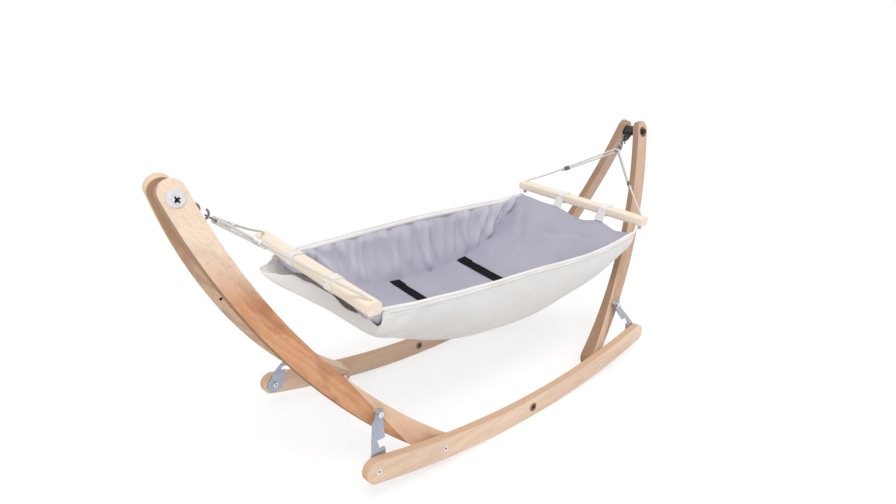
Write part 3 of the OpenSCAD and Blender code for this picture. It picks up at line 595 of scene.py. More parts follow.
def slackRope(piece, side, flip):
    # works out how the ring swings in and up as its frame folds, but then only gives the piece a mesh of its own
    ring, anchor = onPull(hang["ringL"] + hang["ringMid"]), ropeFrame(side)[1]
    foot = np.array([-foldEnd["footX"], 0, foldEnd["footZ"]])
    c, s = math.cos(foldEnd["turn"]), math.sin(foldEnd["turn"])
    x, _, z = ring - foot
    shift = np.array([foot[0] + x * c + z * s, 0, foot[2] - x * s + z * c]) - ring
    axis = unit(shift)
    if flip:
        axis, anchor = mirrorX(axis), mirrorX(anchor)
    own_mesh(piece)


def makeRopes():
    for end in ("left", "right"):
        flip, doubled = end == "right", rope[end + "Doubled"]
        for word, side in bothSides:
            path, mid, run, up = ropeRoute(side, doubled)
            if flip:
                path = mirrorX(path)
            cord = tubeObject(f"{end}{word.capitalize()}Rope", path, rope["diameter"] / 2, sides=16)
            dress(cord, ropeFibre, "cradle", [f"{end}_{word}_rope"])
            sleeve = sleeveObject(f"{end}{word.capitalize()}Adjuster", mid, run, up, flip)
            dress(sleeve, bronzeSteel if flip else brightSteel, "cradle", [f"{end}_rope_adjusters"])
            for piece in (cord, sleeve):
                slackRope(piece, side, flip)


makeRopes()
print("ropes hung")


# the sling's cloth

sling = {  # metres, as in the part's source
    "half": 0.396, "edgeSag": 0.026, "edgeBow": 0.004, "edgeTop": 0.389, "edgeHalf": 0.201,
    "deep": 0.214, "lowX": 0.080, "reachLeft": 0.591, "reachRight": 0.460, "canvas": 0.002, "canvasSkin": 0.0012,
    "liningDeep": 0.132, "liningFoot": 0.434, "liningHead": 0.402, "liningIn": 0.0043, "liningThick": 0.003,
    "liningSkin": 0.0025, "wallShare": 0.3, "floorSag": 0.005,
}


def share(x):
    return 1 - (x / sling["half"]) ** 2


def softLine(at, values, t, blur):
    return np.mean([np.interp(np.asarray(t, float) + d, at, values) for d in np.linspace(-blur, blur, 7)], axis=0)


def onWall(v):
    # 0 on the lining's floor, 1 at the top of its wall
    return np.clip((np.abs(v) - 1 + sling["wallShare"]) / sling["wallShare"], 0, 1)


longEdge = {  # how both long edges leave a plain curve; the back corner at the head bar is drawn in and up
    "cornerIn": 0.009, "cornerUp": 0.012, "backUp": 0.0135, "backFoot": 0.0445, "backHead": 0.0350,
    "frontDown": 0.0185, "frontCornerUp": 0.004,
}


def edgeY(x, v):
    pulled = np.where(np.asarray(v) > 0, longEdge["cornerIn"] * ramp(0.33, sling["half"], x), 0.0)
    return sling["edgeHalf"] - sling["edgeBow"] * share(x) - pulled


def edgeZ(x, v):
    x, v = np.asarray(x, float), np.asarray(v, float)  # the back edge hangs straighter than the front one
    z = sling["edgeTop"] - sling["edgeSag"] * share(x)
    out = np.abs(x) / 0.4
    back = longEdge["backUp"] - np.where(x < 0, longEdge["backFoot"] * out ** 1.6, longEdge["backHead"] * out ** 2)
    back = back + longEdge["cornerUp"] * ramp(0.31, sling["half"], x)
    front = -longEdge["frontDown"] * ramp(-0.05, 0.28, x) + longEdge["frontCornerUp"] * ramp(0.30, 0.40, x)
    return z + np.where(v > 0, back, front) * np.clip(np.abs(v), 0, 1) ** 2


def depth(x):
    x = np.asarray(x, float)
    left = np.clip((sling["lowX"] - x) / sling["reachLeft"], 0, None)
    right = np.clip((x - sling["lowX"]) / sling["reachRight"], 0, None)
    return sling["deep"] * (1 - left ** 2.27 - right ** 2.8)


def hash1(i, seed):
    # an even draw from 0 to 1, the same each time
    return np.modf(np.abs(np.sin(np.asarray(i, float) * 127.1 + seed * 311.7) * 43758.5453))[0]


flap = {  # the loose hem at the foot end: height and outward flare along Y
    "at": (-0.190, -0.154, -0.110, -0.075, -0.055, -0.030, 0.065, 0.130, 0.186, 0.199),
    "high": (0.006, 0.029, 0.026, 0.029, 0.034, 0.039, 0.041, 0.028, 0.006, 0.002),
    "flareAt": (-0.200, -0.130, -0.080, -0.025, 0.060, 0.200),
    "flare": (0.000, -0.006, -0.001, 0.004, 0.019, 0.039),
    "rows": 8,
}
canvas = {"rows": 160, "columns": 96, "square": 0.42, "footShallow": 0.012, "drag": 0.0022, "slack": (0.0013, 0.0012),
          "hemDeep": 0.012, "hemProud": 0.0003}


def turnedHem(row):
    # rows above the foot end's first one, the highest first
    hem = []
    for t in np.linspace(1, 1 / flap["rows"], flap["rows"]):
        x, y, z = row.T
        high = softLine(flap["at"], flap["high"], y, 0.008) * (1 + 0.05 * np.sin(y * 90))
        out = 0.0022 * math.sin(math.pi * t) + 0.0010 + 0.0012 * np.sin(y * 70) * t
        hem.append(np.stack([x - out, y, z + high * t], axis=1))
    return np.array(hem)


def makeCanvas():
    rows, columns, foot = canvas["rows"], canvas["columns"], -sling["half"]
    x, v = evenGrid(rows, columns, sling["half"])
    a = v * math.pi / 2
    bent = 1 - canvas["square"] * ramp(-0.30, foot, x)  # the open foot end squares up, and its hem turns up and out
    y = edgeY(x, v) * np.sign(v) * np.abs(np.sin(a)) ** bent
    drop = (depth(x) - canvas["footShallow"] * ramp(-0.335, foot, x)) * np.cos(a) ** bent
    # soft drag folds from the near corners, and slack along the belly
    corner = np.exp(-((x + 0.33) / 0.10) ** 2) * ramp(0.35, 0.7, -v) * ramp(1.0, 0.9, -v)
    drag = np.sin((x * 0.8 + v * 0.16) * 95) * corner * canvas["drag"]
    belly = ramp(0.98, 0.6, np.abs(v))
    slack = canvas["slack"][0] * np.sin(x * 31 + 5 * np.sin(v * 3)) * belly
    slack += canvas["slack"][1] * np.sin(x * 13 - v * 7 + 1.0) * belly
    inward = drag + slack + 0.0004
    y, drop = y - np.sin(a) * inward, drop - np.cos(a) * inward
    # the turned hem is doubled
    proud = ramp(0.0, 1.0, (np.abs(x) - sling["half"] + canvas["hemDeep"]) / 0.003) * canvas["hemProud"]
    y, drop = y + np.sin(a) * proud, drop + np.cos(a) * proud
    flare = softLine(flap["flareAt"], flap["flare"], y, 0.012) * ramp(1.0, 0.80, np.abs(v))
    grid = np.stack([x - flare * ramp(-0.35, foot, x), y, edgeZ(x, v) - drop], axis=-1)
    grid = np.concatenate([turnedHem(grid[0]), grid])
    x = np.concatenate([np.repeat(x[:1] - 0.001, flap["rows"], axis=0), x])
    rows += flap["rows"]
    cells, run, arc, area = measured(slanted(grid), rows, columns)
    uv = np.stack([x.ravel(), arc.ravel()], axis=1)
    piece = meshObject("slingCanvas", cells.reshape(-1, 3), gridFaces(rows, columns), uv)
    thicken(piece, sling["canvasSkin"], offset=1.0)
    dress(piece, canvasCloth, "cradle", ["outer_sling"])
    return cells


def liningFloor(x):
    reach = np.where(np.asarray(x) < 0, sling["liningFoot"], sling["liningHead"])
    return sling["liningDeep"] * (1 - (np.abs(x) / reach) ** 2.6)


folds = {  # upright folds on the lining's walls; each pair is the least value and how far it varies
    "count": 26, "from": -0.36, "span": 0.74, "wide": (0.0045, 0.007), "tall": (0.0035, 0.0085), "lean": 0.05,
    "low": (0.02, 0.3), "high": (0.75, 0.22),
}
drags = (  # longer slack folds that run slantwise from the corners: place, slope, width, height
    (-0.335, 0.085, 0.010, 0.008), (-0.25, 0.05, 0.012, 0.007), (-0.12, 0.035, 0.013, 0.009),
    (0.02, -0.02, 0.012, 0.006), (0.17, -0.03, 0.012, 0.008), (0.26, -0.07, 0.010, 0.008), (0.33, -0.10, 0.009, 0.007))


def drawn(word, i, seed, power=1.0):
    least, spread = folds[word]
    return least + spread * hash1(i, seed) ** power


def foldHeight(x, v):
    # v is 0.7 at the floor and 1 at the edge
    side, up = np.where(v > 0, 1, 0), onWall(v)
    height = 0.0030 * np.sin(x * 88 + 1.3 * np.sin(x * 23) + 1.5 * up) * np.where(v > 0, 1.0, 0.5) * ramp(0.0, 0.2, up)
    for s in (0, 1):
        for i in range(folds["count"]):
            place = folds["from"] + folds["span"] * (i + 0.9 * hash1(i, 3 + s)) / folds["count"]
            width = drawn("wide", i, 5 + s)
            leanOver = (hash1(i, 7 + s) - 0.5) * folds["lean"] + (folds["lean"] if place > 0.25 else 0)
            low, high = drawn("low", i, 13 + s), drawn("high", i, 17 + s)
            gap = (x - place - leanOver * (up - 0.5)) / (width * (0.7 + 0.8 * up))
            ridge = np.exp(-gap ** 2) * ramp(low - 0.12, low + 0.15, up) * ramp(high + 0.2, high - 0.1, up)
            height += np.where(side == s, drawn("tall", i, 11 + s, 1.5) * ridge, 0)
    for place, slope, width, tall in drags:
        gap = (x - place - slope * (1 - up)) / width
        height += np.where(side == 1, tall * np.exp(-gap ** 2) * ramp(-0.05, 0.2, up) * ramp(1.0, 0.85, up), 0)
    return height * ramp(0.985, 0.86, up)


def liningGrid(x, v):
    w = onWall(v)
    q = liningFloor(x) * (1 - w)
    inside = np.clip(1 - (q / depth(x)) ** 2, 0.0, None)
    tuck = 0.0040 * ramp(0.80, 1.0, w)  # the top edge is caught under the piping
    wall = edgeY(x, v) * np.sqrt(inside) - sling["liningIn"] - sling["liningThick"] + tuck
    u = np.clip(np.abs(v) / (1 - sling["wallShare"]), 0, 1)
    sink = sling["floorSag"] * share(x) * (1 - u * u)
    return np.sign(v) * wall * u, edgeZ(x, v) - q - sink + 0.0012 * ramp(0.85, 1.0, w)


def liningAt(x, v):
    y, z = liningGrid(np.array([x]), np.array([v]))
    return float(y[0]), float(z[0])


dents = (  # creases in the floor and the ramps, each from one point in plan to another: width and depth
    (0.315, 0.055, 0.345, -0.045, 0.010, 0.0042), (0.345, -0.045, 0.350, -0.120, 0.008, 0.0034),
    (0.385, 0.165, 0.270, 0.070, 0.011, 0.0040), (0.240, 0.100, 0.330, 0.080, 0.009, 0.0030),
    (-0.300, 0.090, -0.330, -0.060, 0.012, 0.0036), (-0.200, 0.110, -0.235, 0.010, 0.010, 0.0030),
    (0.060, 0.105, 0.020, 0.015, 0.010, 0.0030), (0.200, -0.110, 0.290, -0.050, 0.010, 0.0032),
    (-0.050, 0.110, -0.070, 0.040, 0.009, 0.0026))


def dentDepth(x, y):
    total = np.zeros_like(x)
    for xa, ya, xb, yb, width, deep in dents:
        along = np.clip(((x - xa) * (xb - xa) + (y - ya) * (yb - ya)) / ((xb - xa) ** 2 + (yb - ya) ** 2), 0, 1)
        off = np.hypot(x - xa - along * (xb - xa), y - ya - along * (yb - ya))
        side = np.sign((x - xa) * (yb - ya) - (y - ya) * (xb - xa))
        lip = 0.45 * np.exp(-((off * side - width * 1.6) / width) ** 2)  # cloth that is pushed up beside it
        total += deep * np.sin(math.pi * along) * (np.exp(-(off / width) ** 2) - lip)
    return total


endEdge = {  # how far the lining's two end edges hang below a straight line, along Y
    "headAt": (-0.200, -0.184, -0.142, -0.106, -0.082, -0.063, -0.035, -0.009, 0.033, 0.060, 0.095, 0.153, 0.190),
    "head": (0.002, 0.009, 0.0165, 0.008, 0.0075, 0.013, 0.0195, 0.020, 0.009, 0.006, 0.0065, 0.002, -0.001),
    "footAt": (-0.200, -0.140, -0.095, -0.069, -0.010, 0.047, 0.072, 0.130, 0.195),
    "foot": (0.000, 0.012, 0.001, 0.001, 0.008, 0.001, 0.001, 0.010, 0.000),
}


def endSag(y, x):
    # the end edges hang in scallops between their loops
    head = softLine(endEdge["headAt"], endEdge["head"], y, 0.007)
    foot = softLine(endEdge["footAt"], endEdge["foot"], y, 0.010)
    x = np.asarray(x, float)
    return np.where(x > 0, head, foot) * ramp(0.84, 1.0, np.abs(x) / sling["half"])


strap = {
    "wide": 0.027, "thick": 0.0018, "back": 0.700, "front": -0.66, "foot": -0.111, "head": 0.124, "lift": 0.0022,
    "tab": 0.030, "doubled": 0.0016, "dip": 0.0030, "flatHalf": 0.030,
}


lining = {"rows": 300, "columns": 150, "puff": 0.0028, "crease": 0.0016, "headReach": 0.005}


def makeLining():
    rows, columns = lining["rows"], lining["columns"]
    x, v = evenGrid(rows, columns, sling["half"])
    y, z = liningGrid(x, v)
    up, out = onWall(v), np.abs(x) / sling["half"]
    # the folds fade towards both ends and across the floor
    fold = foldHeight(x, v) * ramp(1.0, 0.86, out) * ramp(0.45, 0.98, np.abs(v) / (1 - sling["wallShare"]))
    y = y - np.sign(v) * fold
    # shallow pillows and creases in the floor, which the straps press flat
    puff = lining["puff"] * np.sin(math.pi * np.clip(np.abs(v) / 0.7, 0, 1))
    puff = puff * (0.5 + 0.5 * np.sin(x * 21 + 1.2)) * ramp(1.0, 0.7, out)
    crease = lining["crease"] * np.sin(x * 47 + 9 * v) * np.sin(v * 11 + x * 9) * ramp(0.75, 0.4, np.abs(v))
    under = [np.exp(-((x - strap[word]) / strap["flatHalf"]) ** 4) for word, _ in bothEnds]
    z = z + ((puff + crease) * (up < 0.001) - dentDepth(x, y) * ramp(0.5, 0.0, up)) * (1 - under[0] - under[1])
    z = z - endSag(y, x)
    reach = x + lining["headReach"] * ramp(0.360, sling["half"], x)  # the head end lies close to its bar
    cells, run, arc, area = measured(slanted(np.stack([reach, y, z], axis=-1)), rows, columns)
    uv = np.stack([run.ravel() - run.max() / 2, (arc - arc[:, -1:] / 2).ravel()], axis=1)
    piece = meshObject("slingLining", cells.reshape(-1, 3), gridFaces(rows, columns), uv)
    wall = piece.data.attributes.new("wall", "FLOAT", "POINT")
    wall.data.foreach_set("value", ramp(0.0, 0.35, up).astype(np.float32).ravel())
    thicken(piece, sling["liningSkin"], offset=-1.0)
    dress(piece, liningCloth, "cradle", ["lining"])


canvasShape = makeCanvas()
makeLining()
print("sling sewn")


# base pad, piping, loops and straps

pad = {"halfWide": 0.121, "halfLong": 0.300, "thick": 0.013, "under": 0.0042, "fill": 0.7,
       "quilt": 0.0012, "quiltX": 0.075, "quiltY": 0.060}


def makePad():
    rows, columns = 90, 48
    u, v = evenGrid(rows, columns)
    x, y = pad["halfLong"] * u, pad["halfWide"] * v
    floorEdge = 1 - sling["wallShare"]
    wallY, _ = liningGrid(x, np.full_like(x, floorEdge))
    _, top = liningGrid(x, np.clip(y / wallY, -1, 1) * floorEdge)
    top = top - pad["under"]
    full = ((1 - v ** 6) * (1 - u ** 8)) ** 0.5
    across, along = np.sin(x * math.pi / pad["quiltX"]), np.sin(y * math.pi / pad["quiltY"])
    quilt = pad["quilt"] * (np.abs(across) ** 0.5) * (np.abs(along) ** 0.5)
    thick = pad["thick"] * (0.30 + 0.70 * full) - pad["quilt"] + quilt
    upper, lower = [slanted(np.stack([x, y, z], axis=-1)).reshape(-1, 3) for z in (top, top - thick)]
    count = rows * columns
    faces = gridFaces(rows, columns)
    faces += [tuple(i + count for i in f[::-1]) for f in faces]
    rim = [i * columns for i in range(rows)] + [(rows - 1) * columns + j for j in range(1, columns)]
    rim += [i * columns + columns - 1 for i in range(rows - 2, -1, -1)] + [j for j in range(columns - 2, 0, -1)]
    faces += [(a, b, b + count, a + count) for a, b in zip(rim, rim[1:] + rim[:1])]
    uv = np.concatenate([np.stack([x.ravel(), y.ravel()], axis=1)] * 2)
    piece = outward(meshObject("basePad", np.concatenate([upper, lower]), faces, uv))
    dress(piece, padCloth, "cradle", ["base_pad"])


pipe = {
    "radius": 0.0033, "rise": 0.0038, "endX": 0.4046, "endIn": 0.002, "endLow": 0.3950, "thick": 0.0008,
    # the folded binding's section, outwards and upwards from the edge
    "binding": ((0.0007, -0.0067), (0.0007, -0.0030), (0.0004, 0.0010), (-0.0030, 0.0026), (-0.0064, 0.0016),
                (-0.0080, -0.0020), (-0.0084, -0.0078)),
}


def makePiping():
    x = np.linspace(-sling["half"], sling["half"], 120)
    for word, side in bothSides:
        wobble = 0.0006 * np.sin(x * 60 + side) + 0.0005 * np.sin(x * 23)
        high = edgeZ(x, side)
        line = np.stack([x, side * (edgeY(x, side) - sling["canvas"] / 2) + wobble, high + pipe["rise"]], axis=1)
        endY = side * (sling["edgeHalf"] - pipe["endIn"])
        foot, head = [[end * pipe["endX"], endY, max(pipe["endLow"], float(high[k]) + 0.004)]
                      for end, k in ((-1, 0), (1, -1))]
        path = smoothPath(slanted(np.array([foot, *line, head])), step=0.004, rounds=1)
        tube = tubeObject(word + "PipingTube", path, pipe["radius"], sides=14)
        seam, count = [], len(pipe["binding"])
        for out, rise in pipe["binding"]:
            ease = 0.0003 * np.sin(x * 140 + side) if rise < -0.005 else 0.0  # its sewn edges waver
            seam.append(slanted(np.stack([x, side * (edgeY(x, side) + out), high + rise + ease], axis=1)))
        uv = np.stack([np.repeat(x, count), np.tile(np.arange(count) * 0.004, len(x))], axis=1)
        band = meshObject(word + "Seam", np.stack(seam, axis=1).reshape(-1, 3), gridFaces(len(x), count), uv)
        thicken(band, pipe["thick"])
        dress(joined(word + "Piping", [tube, outward(band)]), pipingCloth, "cradle", [word + "_piping"])


loop = {
    "backY": 0.060, "frontY": -0.082, "halfWide": 0.0125, "thick": 0.0014, "off": 0.0012, "corner": 0.008,
    "headShift": -0.007, "footTail": 0.389, "headTail": 0.3975, "tailRise": 0.0020, "tailSteps": 12,
}


def loopMiddles(end):
    return [loop[place] + loop["headShift"] * (end > 0) for place in ("backY", "frontY")]


def roundBar():
    # the bar's outline a little way off its faces, with rounded corners
    r = loop["corner"]
    halfW, halfH = hang["barWide"] / 2 + loop["off"] - r, hang["barHigh"] / 2 + loop["off"] - r
    profile = []
    for cx, cz, start in ((halfW, halfH, 0), (-halfW, halfH, 90), (-halfW, -halfH, 180), (halfW, -halfH, 270)):
        for a in np.radians(np.linspace(start, start + 90, 7)):
            profile.append((cx + r * math.cos(a), cz + r * math.sin(a)))
    return profile + profile[:1]


def loopBand(name, end, middle, across):
    profile, points, uv, run = roundBar(), [], [], 0
    for i, (px, pz) in enumerate(profile):
        run += math.dist(profile[i], profile[i - 1]) if i else 0
        for w in across:
            curl = 0.0005 * math.sin(w * 300 + i)
            points.append((end * (hang["barX"] + px + curl), middle + w, hang["barZ"] + pz + curl))
            uv.append((run, w))
    band = meshObject(name, slanted(points), gridFaces(len(profile), len(across)), uv)
    return thicken(band, loop["thick"])


def loopTail(name, end, middle, across, tailX):
    # from the bar's inner side to the lining's end edge
    topX, topZ = hang["barX"] - hang["barWide"] / 2 - loop["off"], hang["barZ"] + 0.001
    foot = liningAt(end * tailX, middle / sling["edgeHalf"])[1] + loop["tailRise"]
    points, uv = [], []
    for t in np.linspace(0, 1, loop["tailSteps"]):
        for w in across:
            wide = middle + w * (1 + 0.05 * t)
            sag = float(endSag(wide, end * tailX)) * t
            points.append((end * (topX * (1 - t) + tailX * t), wide, topZ * (1 - t ** 0.8) + foot * t ** 0.8 - sag))
            uv.append((t * 0.04, w))
    tail = meshObject(name, slanted(points), gridFaces(loop["tailSteps"], len(across)), uv)
    return thicken(tail, loop["thick"])


def makeLoops():
    across = np.linspace(-loop["halfWide"], loop["halfWide"], 9)
    for word, end in bothEnds:
        bands = []
        for middle in loopMiddles(end):
            bands.append(loopBand(word + "Band", end, middle, across))
            bands.append(loopTail(word + "Tail", end, middle, across, loop[word + "Tail"]))
        dress(outward(joined(word + "Loops", bands)), loopCloth, "cradle", [word + "_bar_loops"])


def floorSlope(x, v, step=0.012):
    return (liningAt(x + step, v)[1] - liningAt(x - step, v)[1]) / (2 * step)


def floorHigh(x, y):
    flat = 1 - sling["wallShare"]
    wall = abs(liningAt(x, flat if y > 0 else -flat)[0])
    return liningAt(x, flat * max(-1.0, min(1.0, y / wall)))[1]


def makeStraps():
    rows, columns = 70, 13
    for word, _ in bothEnds:
        x0 = strap[word]
        (backY, backZ), (frontY, frontZ) = liningAt(x0, strap["back"]), liningAt(x0, strap["front"])
        backSlope, frontSlope = floorSlope(x0, strap["back"]), floorSlope(x0, strap["front"])
        points, uv, run = [], [], 0.0
        for t in np.linspace(0, 1, rows):
            slope = backSlope + (frontSlope - backSlope) * t
            y, z = backY + (frontY - backY) * t, backZ + (frontZ - backZ) * t
            tab = float(ramp(strap["tab"] + 0.001, strap["tab"], (backY - frontY) * t))  # the sewn end is doubled
            half = strap["wide"] / 2 + 0.0015 * tab
            lift = strap["lift"] + strap["doubled"] * tab - strap["dip"] * math.sin(math.pi * t)
            lift += 0.0005 * math.sin(t * 17 + x0 * 30)
            for w in np.linspace(-1, 1, columns) * half:
                clear = floorHigh(x0 + w, y) + strap["thick"] * 0.5 + 0.0010  # never under the lining
                points.append((x0 + w, y, max(z + lift + slope * w, clear)))
                uv.append((w, run))
            run += abs(frontY - backY) / (rows - 1)
        band = meshObject(word + "Strap", slanted(points), gridFaces(rows, columns), uv)
        dress(outward(thicken(band, strap["thick"])), strapWebbing, "cradle", [word + "_strap"])


makePad()
makePiping()
makeLoops()
makeStraps()
print("pad, piping, loops and straps in place")


# stitches

stitch = {"Pitch": 0.0052, "Long": 0.0034, "Thread": 0.00045, "proud": 0.0003, "in": 0.0025}


def stitchTree():
    tree = bpy.data.node_groups.new("stitch row", "GeometryNodeTree")
    kinds = {"Line": "Geometry", "Pitch": "Float", "Long": "Float", "Thread": "Float", "Finish": "Material"}
    for name, kind in kinds.items():
        tree.interface.new_socket(name, in_out="INPUT", socket_type="NodeSocket" + kind)
    tree.interface.new_socket("Stitches", in_out="OUTPUT", socket_type="NodeSocketGeometry")
    given, result = tree.nodes.new("NodeGroupInput").outputs, tree.nodes.new("NodeGroupOutput")
    curve = put(tree, "GeometryNodeMeshToCurve", {"Mesh": given["Line"]})
    spaced = {"Curve": curve.outputs[0], "Length": given["Pitch"]}
    places = put(tree, "GeometryNodeCurveToPoints", spaced, mode="LENGTH").outputs
    one = put(tree, "GeometryNodeMeshCylinder", {"Vertices": 6, "Radius": given["Thread"], "Depth": given["Long"]})
    row = put(tree, "GeometryNodeInstanceOnPoints", {"Points": places["Points"], "Instance": one.outputs["Mesh"],
              "Rotation": places["Rotation"]})
    whole = put(tree, "GeometryNodeRealizeInstances", {0: row.outputs[0]})
    dressed = put(tree, "GeometryNodeSetMaterial", {"Geometry": whole.outputs[0], "Material": given["Finish"]})
    tree.links.new(dressed.outputs[0], result.inputs["Stitches"])
    return tree


stitchRowTree = stitchTree()


def sewLines(name, lines, material):
    points, edges = [], []
    for line in lines:
        first = len(points)
        points += [tuple(p) for p in line]
        edges += [(k, k + 1) for k in range(first, len(points) - 1)]
    mesh = bpy.data.meshes.new(name)
    mesh.from_pydata(points, edges, [])
    piece = linked(name, mesh)
    row = piece.modifiers.new("stitches", "NODES")
    row.node_group = stitchRowTree
    for item in stitchRowTree.interface.items_tree:
        if item.name == "Finish":
            row[item.identifier] = material
        elif item.name in stitch:
            row[item.identifier] = stitch[item.name]
    applyModifiers(piece)
    shadeFaces(piece.data, False)
    return dress(piece, material, "cradle")


def canvasSeams():
    first = flap["rows"]
    out = np.cross(canvasShape[2:, 1:-1] - canvasShape[:-2, 1:-1], canvasShape[1:-1, 2:] - canvasShape[1:-1, :-2])
    out /= np.linalg.norm(out, axis=2)[:, :, None]
    if out[canvasShape.shape[0] // 2, canvasShape.shape[1] // 2][2] > 0:
        out = -out
    skin = canvasShape[1:-1, 1:-1] + out * (sling["canvasSkin"] + stitch["proud"])
    # under the piping along both long edges, then across both end hems
    return [skin[first:, 1], skin[first:, -2], skin[first + 3, 3:-3], skin[-4, 3:-3], skin[-6, 3:-3]]


def strapSeam(x0):
    # a box with one diagonal on the doubled end
    backY, backZ = liningAt(x0, strap["back"])
    z = backZ + strap["lift"] + strap["doubled"] + strap["thick"] / 2 + stitch["proud"]
    slope = floorSlope(x0, strap["back"])
    half, y0, y1 = strap["wide"] / 2 - stitch["in"], backY - 0.003, backY - strap["tab"] + 0.003
    corners = [(-half, y0), (half, y0), (half, y1), (-half, y1), (-half, y0), (half, y1)]
    box = []
    for (xa, ya), (xb, yb) in zip(corners[:-1], corners[1:]):
        for t in np.linspace(0, 1, 8):
            x, y = xa + (xb - xa) * t, ya + (yb - ya) * t
            box.append((x0 + x, y, z + slope * x - strap["dip"] * math.sin(math.pi * (backY - y) / (2 * backY))))
    return slanted(box)


def loopSeams():
    lines = []
    for _, end in bothEnds:
        x = end * (hang["barX"] + hang["barWide"] / 2 + loop["off"] + loop["thick"] / 2 + stitch["proud"])
        for middle in loopMiddles(end):
            for w in (-1, 1):
                y = middle + w * (loop["halfWide"] - stitch["in"])
                lines.append(slanted([(x, y, hang["barZ"] + k) for k in np.linspace(-0.006, 0.006, 6)]))
    return lines


sewLines("canvasStitches", canvasSeams(), whiteThread)
sewLines("strapStitches", [strapSeam(strap[word]) for word, _ in bothEnds], blackThread)
sewLines("loopStitches", loopSeams(), whiteThread)
print("seams stitched")


# wood with eased edges

screwHole = {  # a plain sunk hole in the inner face of the plank, which leans in
    "at": (-0.5698, 0.0808, 0.3566), "wide": 0.0032, "deep": 0.007, "lean": math.radians(15.1756),
}


def sinkHole(piece):
    normal = Vector((0, -math.cos(screwHole["lean"]), -math.sin(screwHole["lean"])))
    shape = bmesh.new()
    bmesh.ops.create_cone(shape, segments=20, radius1=screwHole["wide"], radius2=screwHole["wide"],
                          depth=2 * screwHole["deep"], cap_ends=True, cap_tris=False)
    shape.transform(Matrix.Translation(screwHole["at"]) @ normal.to_track_quat("Z", "Y").to_matrix().to_4x4())
    mesh = bpy.data.meshes.new("screwHole")
    shape.to_mesh(mesh)
    shape.free()
    tool = linked("screwHole", mesh)
    cut = piece.modifiers.new("hole", "BOOLEAN")
    cut.operation, cut.solver, cut.object = "DIFFERENCE", "EXACT", tool
    applyModifiers(piece)
    bpy.data.objects.remove(tool)


def faceValues(piece, what):
    values = np.empty(3 * len(piece.data.polygons))
    piece.data.polygons.foreach_get(what, values)
    return values.reshape(-1, 3)


def easedCopy(node, name, material, body, width):
    mesh = nodes[node].data.copy()
    shape = bmesh.new()
    shape.from_mesh(mesh)
    bmesh.ops.remove_doubles(shape, verts=shape.verts, dist=1e-6)
    bmesh.ops.dissolve_limit(shape, angle_limit=math.radians(0.6), verts=shape.verts, edges=shape.edges)
    shape.to_mesh(mesh)
    shape.free()
    piece = linked(name, mesh)
    holed = node == "left_back_leg"
    if holed:
        sinkHole(piece)
    edge = piece.modifiers.new("edge", "BEVEL")
    edge.width, edge.segments, edge.limit_method, edge.angle_limit = width, 2, "ANGLE", math.radians(35)
    edge.use_clamp_overlap = True
    applyModifiers(piece)
    shadeFaces(piece.data, True)
    piece.data.set_sharp_from_angle(angle=math.radians(28))
    # boards stand on edge, so a broad face looks to the front or back
    skew, level, _ = np.abs(faceValues(piece, "normal")).T
    side = np.where(level > 0.85, np.where(skew > 0.12, -1.0, 0.0), np.where(level < 0.30, 1.0, 2.0))
    if holed:
        off = np.linalg.norm(faceValues(piece, "center") - np.array(screwHole["at"]), axis=1)
        side[off < screwHole["deep"] * 1.1] = 3.0
    piece.data.attributes.new("side", "FLOAT", "FACE").data.foreach_set("value", side.astype(np.float32))
    return dress(piece, material, body, [node])


grain = {  # a leg's pattern follows the line from its pivot to its apex; each piece is cut from its own place
    "footX": 0.268, "footZ": 0.041, "leftTop": (0.40, 0.50), "rightTop": (0.10, 0.55),
}
eased = {"leg": 0.0022, "rail": 0.0020, "bar": 0.0016}


def dressWood():
    for end, sign in (("left", -1), ("right", 1)):
        for side, way in bothSides:
            chord = math.atan2(hang["apexZ"] - grain["footZ"], sign * (hang["apexX"] - grain["footX"]))
            kind = "rightLeg" if end == "right" else f"left{side.capitalize()}Leg"
            material = woodMaterial(f"{end} {side} leg wood", kind, turn=(0, chord, 0), paleTop=grain[end + "Top"],
                                    move=(0.13 * way, 0.021 * sign, 0.36 + 0.01 * way))
            name = f"{end}{side.capitalize()}Leg"
            easedCopy(f"{end}_{side}_leg", name, material, f"{end}_frame", eased["leg"])
    for side, way in bothSides:
        material = woodMaterial(side + " rail wood", "rail", move=(0.2 * way, 0.012 * way, 0.03))
        easedCopy(side + "_rail", side + "Rail", material, "stand", eased["rail"])
    for word, end in bothEnds:
        turn, move = (0, 0, math.radians(90)), (0, hang["barX"] * end + 0.01, -0.39)
        material = woodMaterial(word + " bar wood", "bar", turn=turn, move=move)
        easedCopy(word + "_bar", word + "Bar", material, "cradle", eased["bar"])


def dressFittings():
    finishes = {  # by the end of a node's name, where a later word counts
        "brace": braceSteel, "bolts": blackSteel, "left_apex_bolts": crossSteel, "leg_pivot_bolts": pivotSteel,
        "pins": pinSteel, "washers": brightSteel, "right_apex_washers": bronzeSteel, "nuts": brightSteel,
        "eyelets": bronzeSteel, "studs": brightSteel, "hook": hookSteel, "block": hookSteel,
        "right_apex_block": blackSteel, "ring": hookSteel, "rope_knots": ropeFibre,
    }
    for name, node in nodes.items():
        for word, material in finishes.items():
            if name.endswith(word):
                coat(node, material)


dressWood()
dressFittings()
print("wood and metal dressed")


# floor, light and background

studio = {"world": 0.78, "sun": 1.15, "sunFrom": (-0.35, -0.55, 1.0), "sunWidth": 24.0, "floorShade": 0.34,
          "floorHalf": 14}


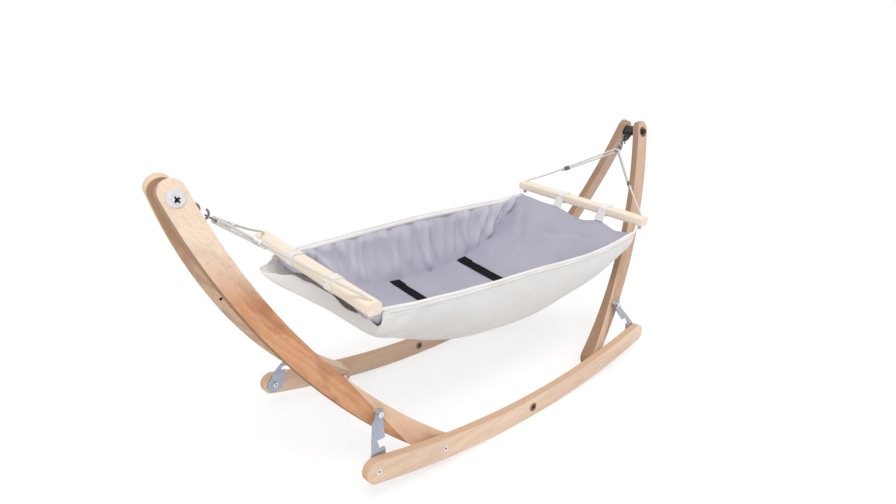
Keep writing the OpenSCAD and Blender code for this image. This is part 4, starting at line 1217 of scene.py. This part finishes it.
def seenStraight(tree, *rays):
    # 1 for the camera's own rays and for those named, which show the background in metal and glass
    seen = put(tree, "ShaderNodeLightPath").outputs
    share = seen["Is Camera Ray"]
    for ray in rays:
        share = math2(tree, "MAXIMUM", share, seen[ray])
    return share


def makeFloor():
    material, tree, shader = newMaterial("studio floor")
    shade = studio["floorShade"]
    plain = put(tree, "ShaderNodeBsdfDiffuse", {"Color": (0.80, 0.80, 0.80, 1)})
    dim = put(tree, "ShaderNodeBsdfDiffuse", {"Color": (shade, shade, shade, 1)})
    glow = put(tree, "ShaderNodeEmission", {"Color": (1, 1, 1, 1), "Strength": 1.0 - shade * 0.92})
    lit = put(tree, "ShaderNodeAddShader", {0: dim.outputs[0], 1: glow.outputs[0]})  # white where no shadow falls
    straight = seenStraight(tree, "Is Glossy Ray")
    mix = put(tree, "ShaderNodeMixShader", {0: straight, 1: plain.outputs[0], 2: lit.outputs[0]})
    tree.links.new(mix.outputs[0], tree.nodes["Material Output"].inputs["Surface"])
    tree.nodes.remove(shader)
    far = studio["floorHalf"]
    corners = [(-far, -far, 0), (far, -far, 0), (far, far, 0), (-far, far, 0)]
    floor = meshObject("studioFloor", corners, [(0, 1, 2, 3)], smooth=False)
    floor.data.materials.append(material)


def makeAir():
    world = bpy.data.worlds.new("studio air")
    bpy.context.scene.world = world
    world.use_nodes = True
    tree = world.node_tree
    tree.nodes.clear()
    air = put(tree, "ShaderNodeBackground", {"Color": (1.0, 0.99, 0.98, 1), "Strength": studio["world"]})
    white = put(tree, "ShaderNodeBackground", {"Color": (1, 1, 1, 1), "Strength": 1.0})
    straight = seenStraight(tree, "Is Glossy Ray", "Is Transmission Ray")
    mix = put(tree, "ShaderNodeMixShader", {0: straight, 1: air.outputs[0], 2: white.outputs[0]})
    put(tree, "ShaderNodeOutputWorld", {"Surface": mix.outputs[0]})
    sun = linked("softKey", bpy.data.lights.new("softKey", "SUN"))
    sun.data.energy, sun.data.angle = studio["sun"], math.radians(studio["sunWidth"])
    sun.rotation_euler = Vector(studio["sunFrom"]).to_track_quat("Z", "Y").to_euler()
    bpy.context.scene.view_settings.view_transform = "Standard"


makeFloor()
makeAir()
print("stage lit")
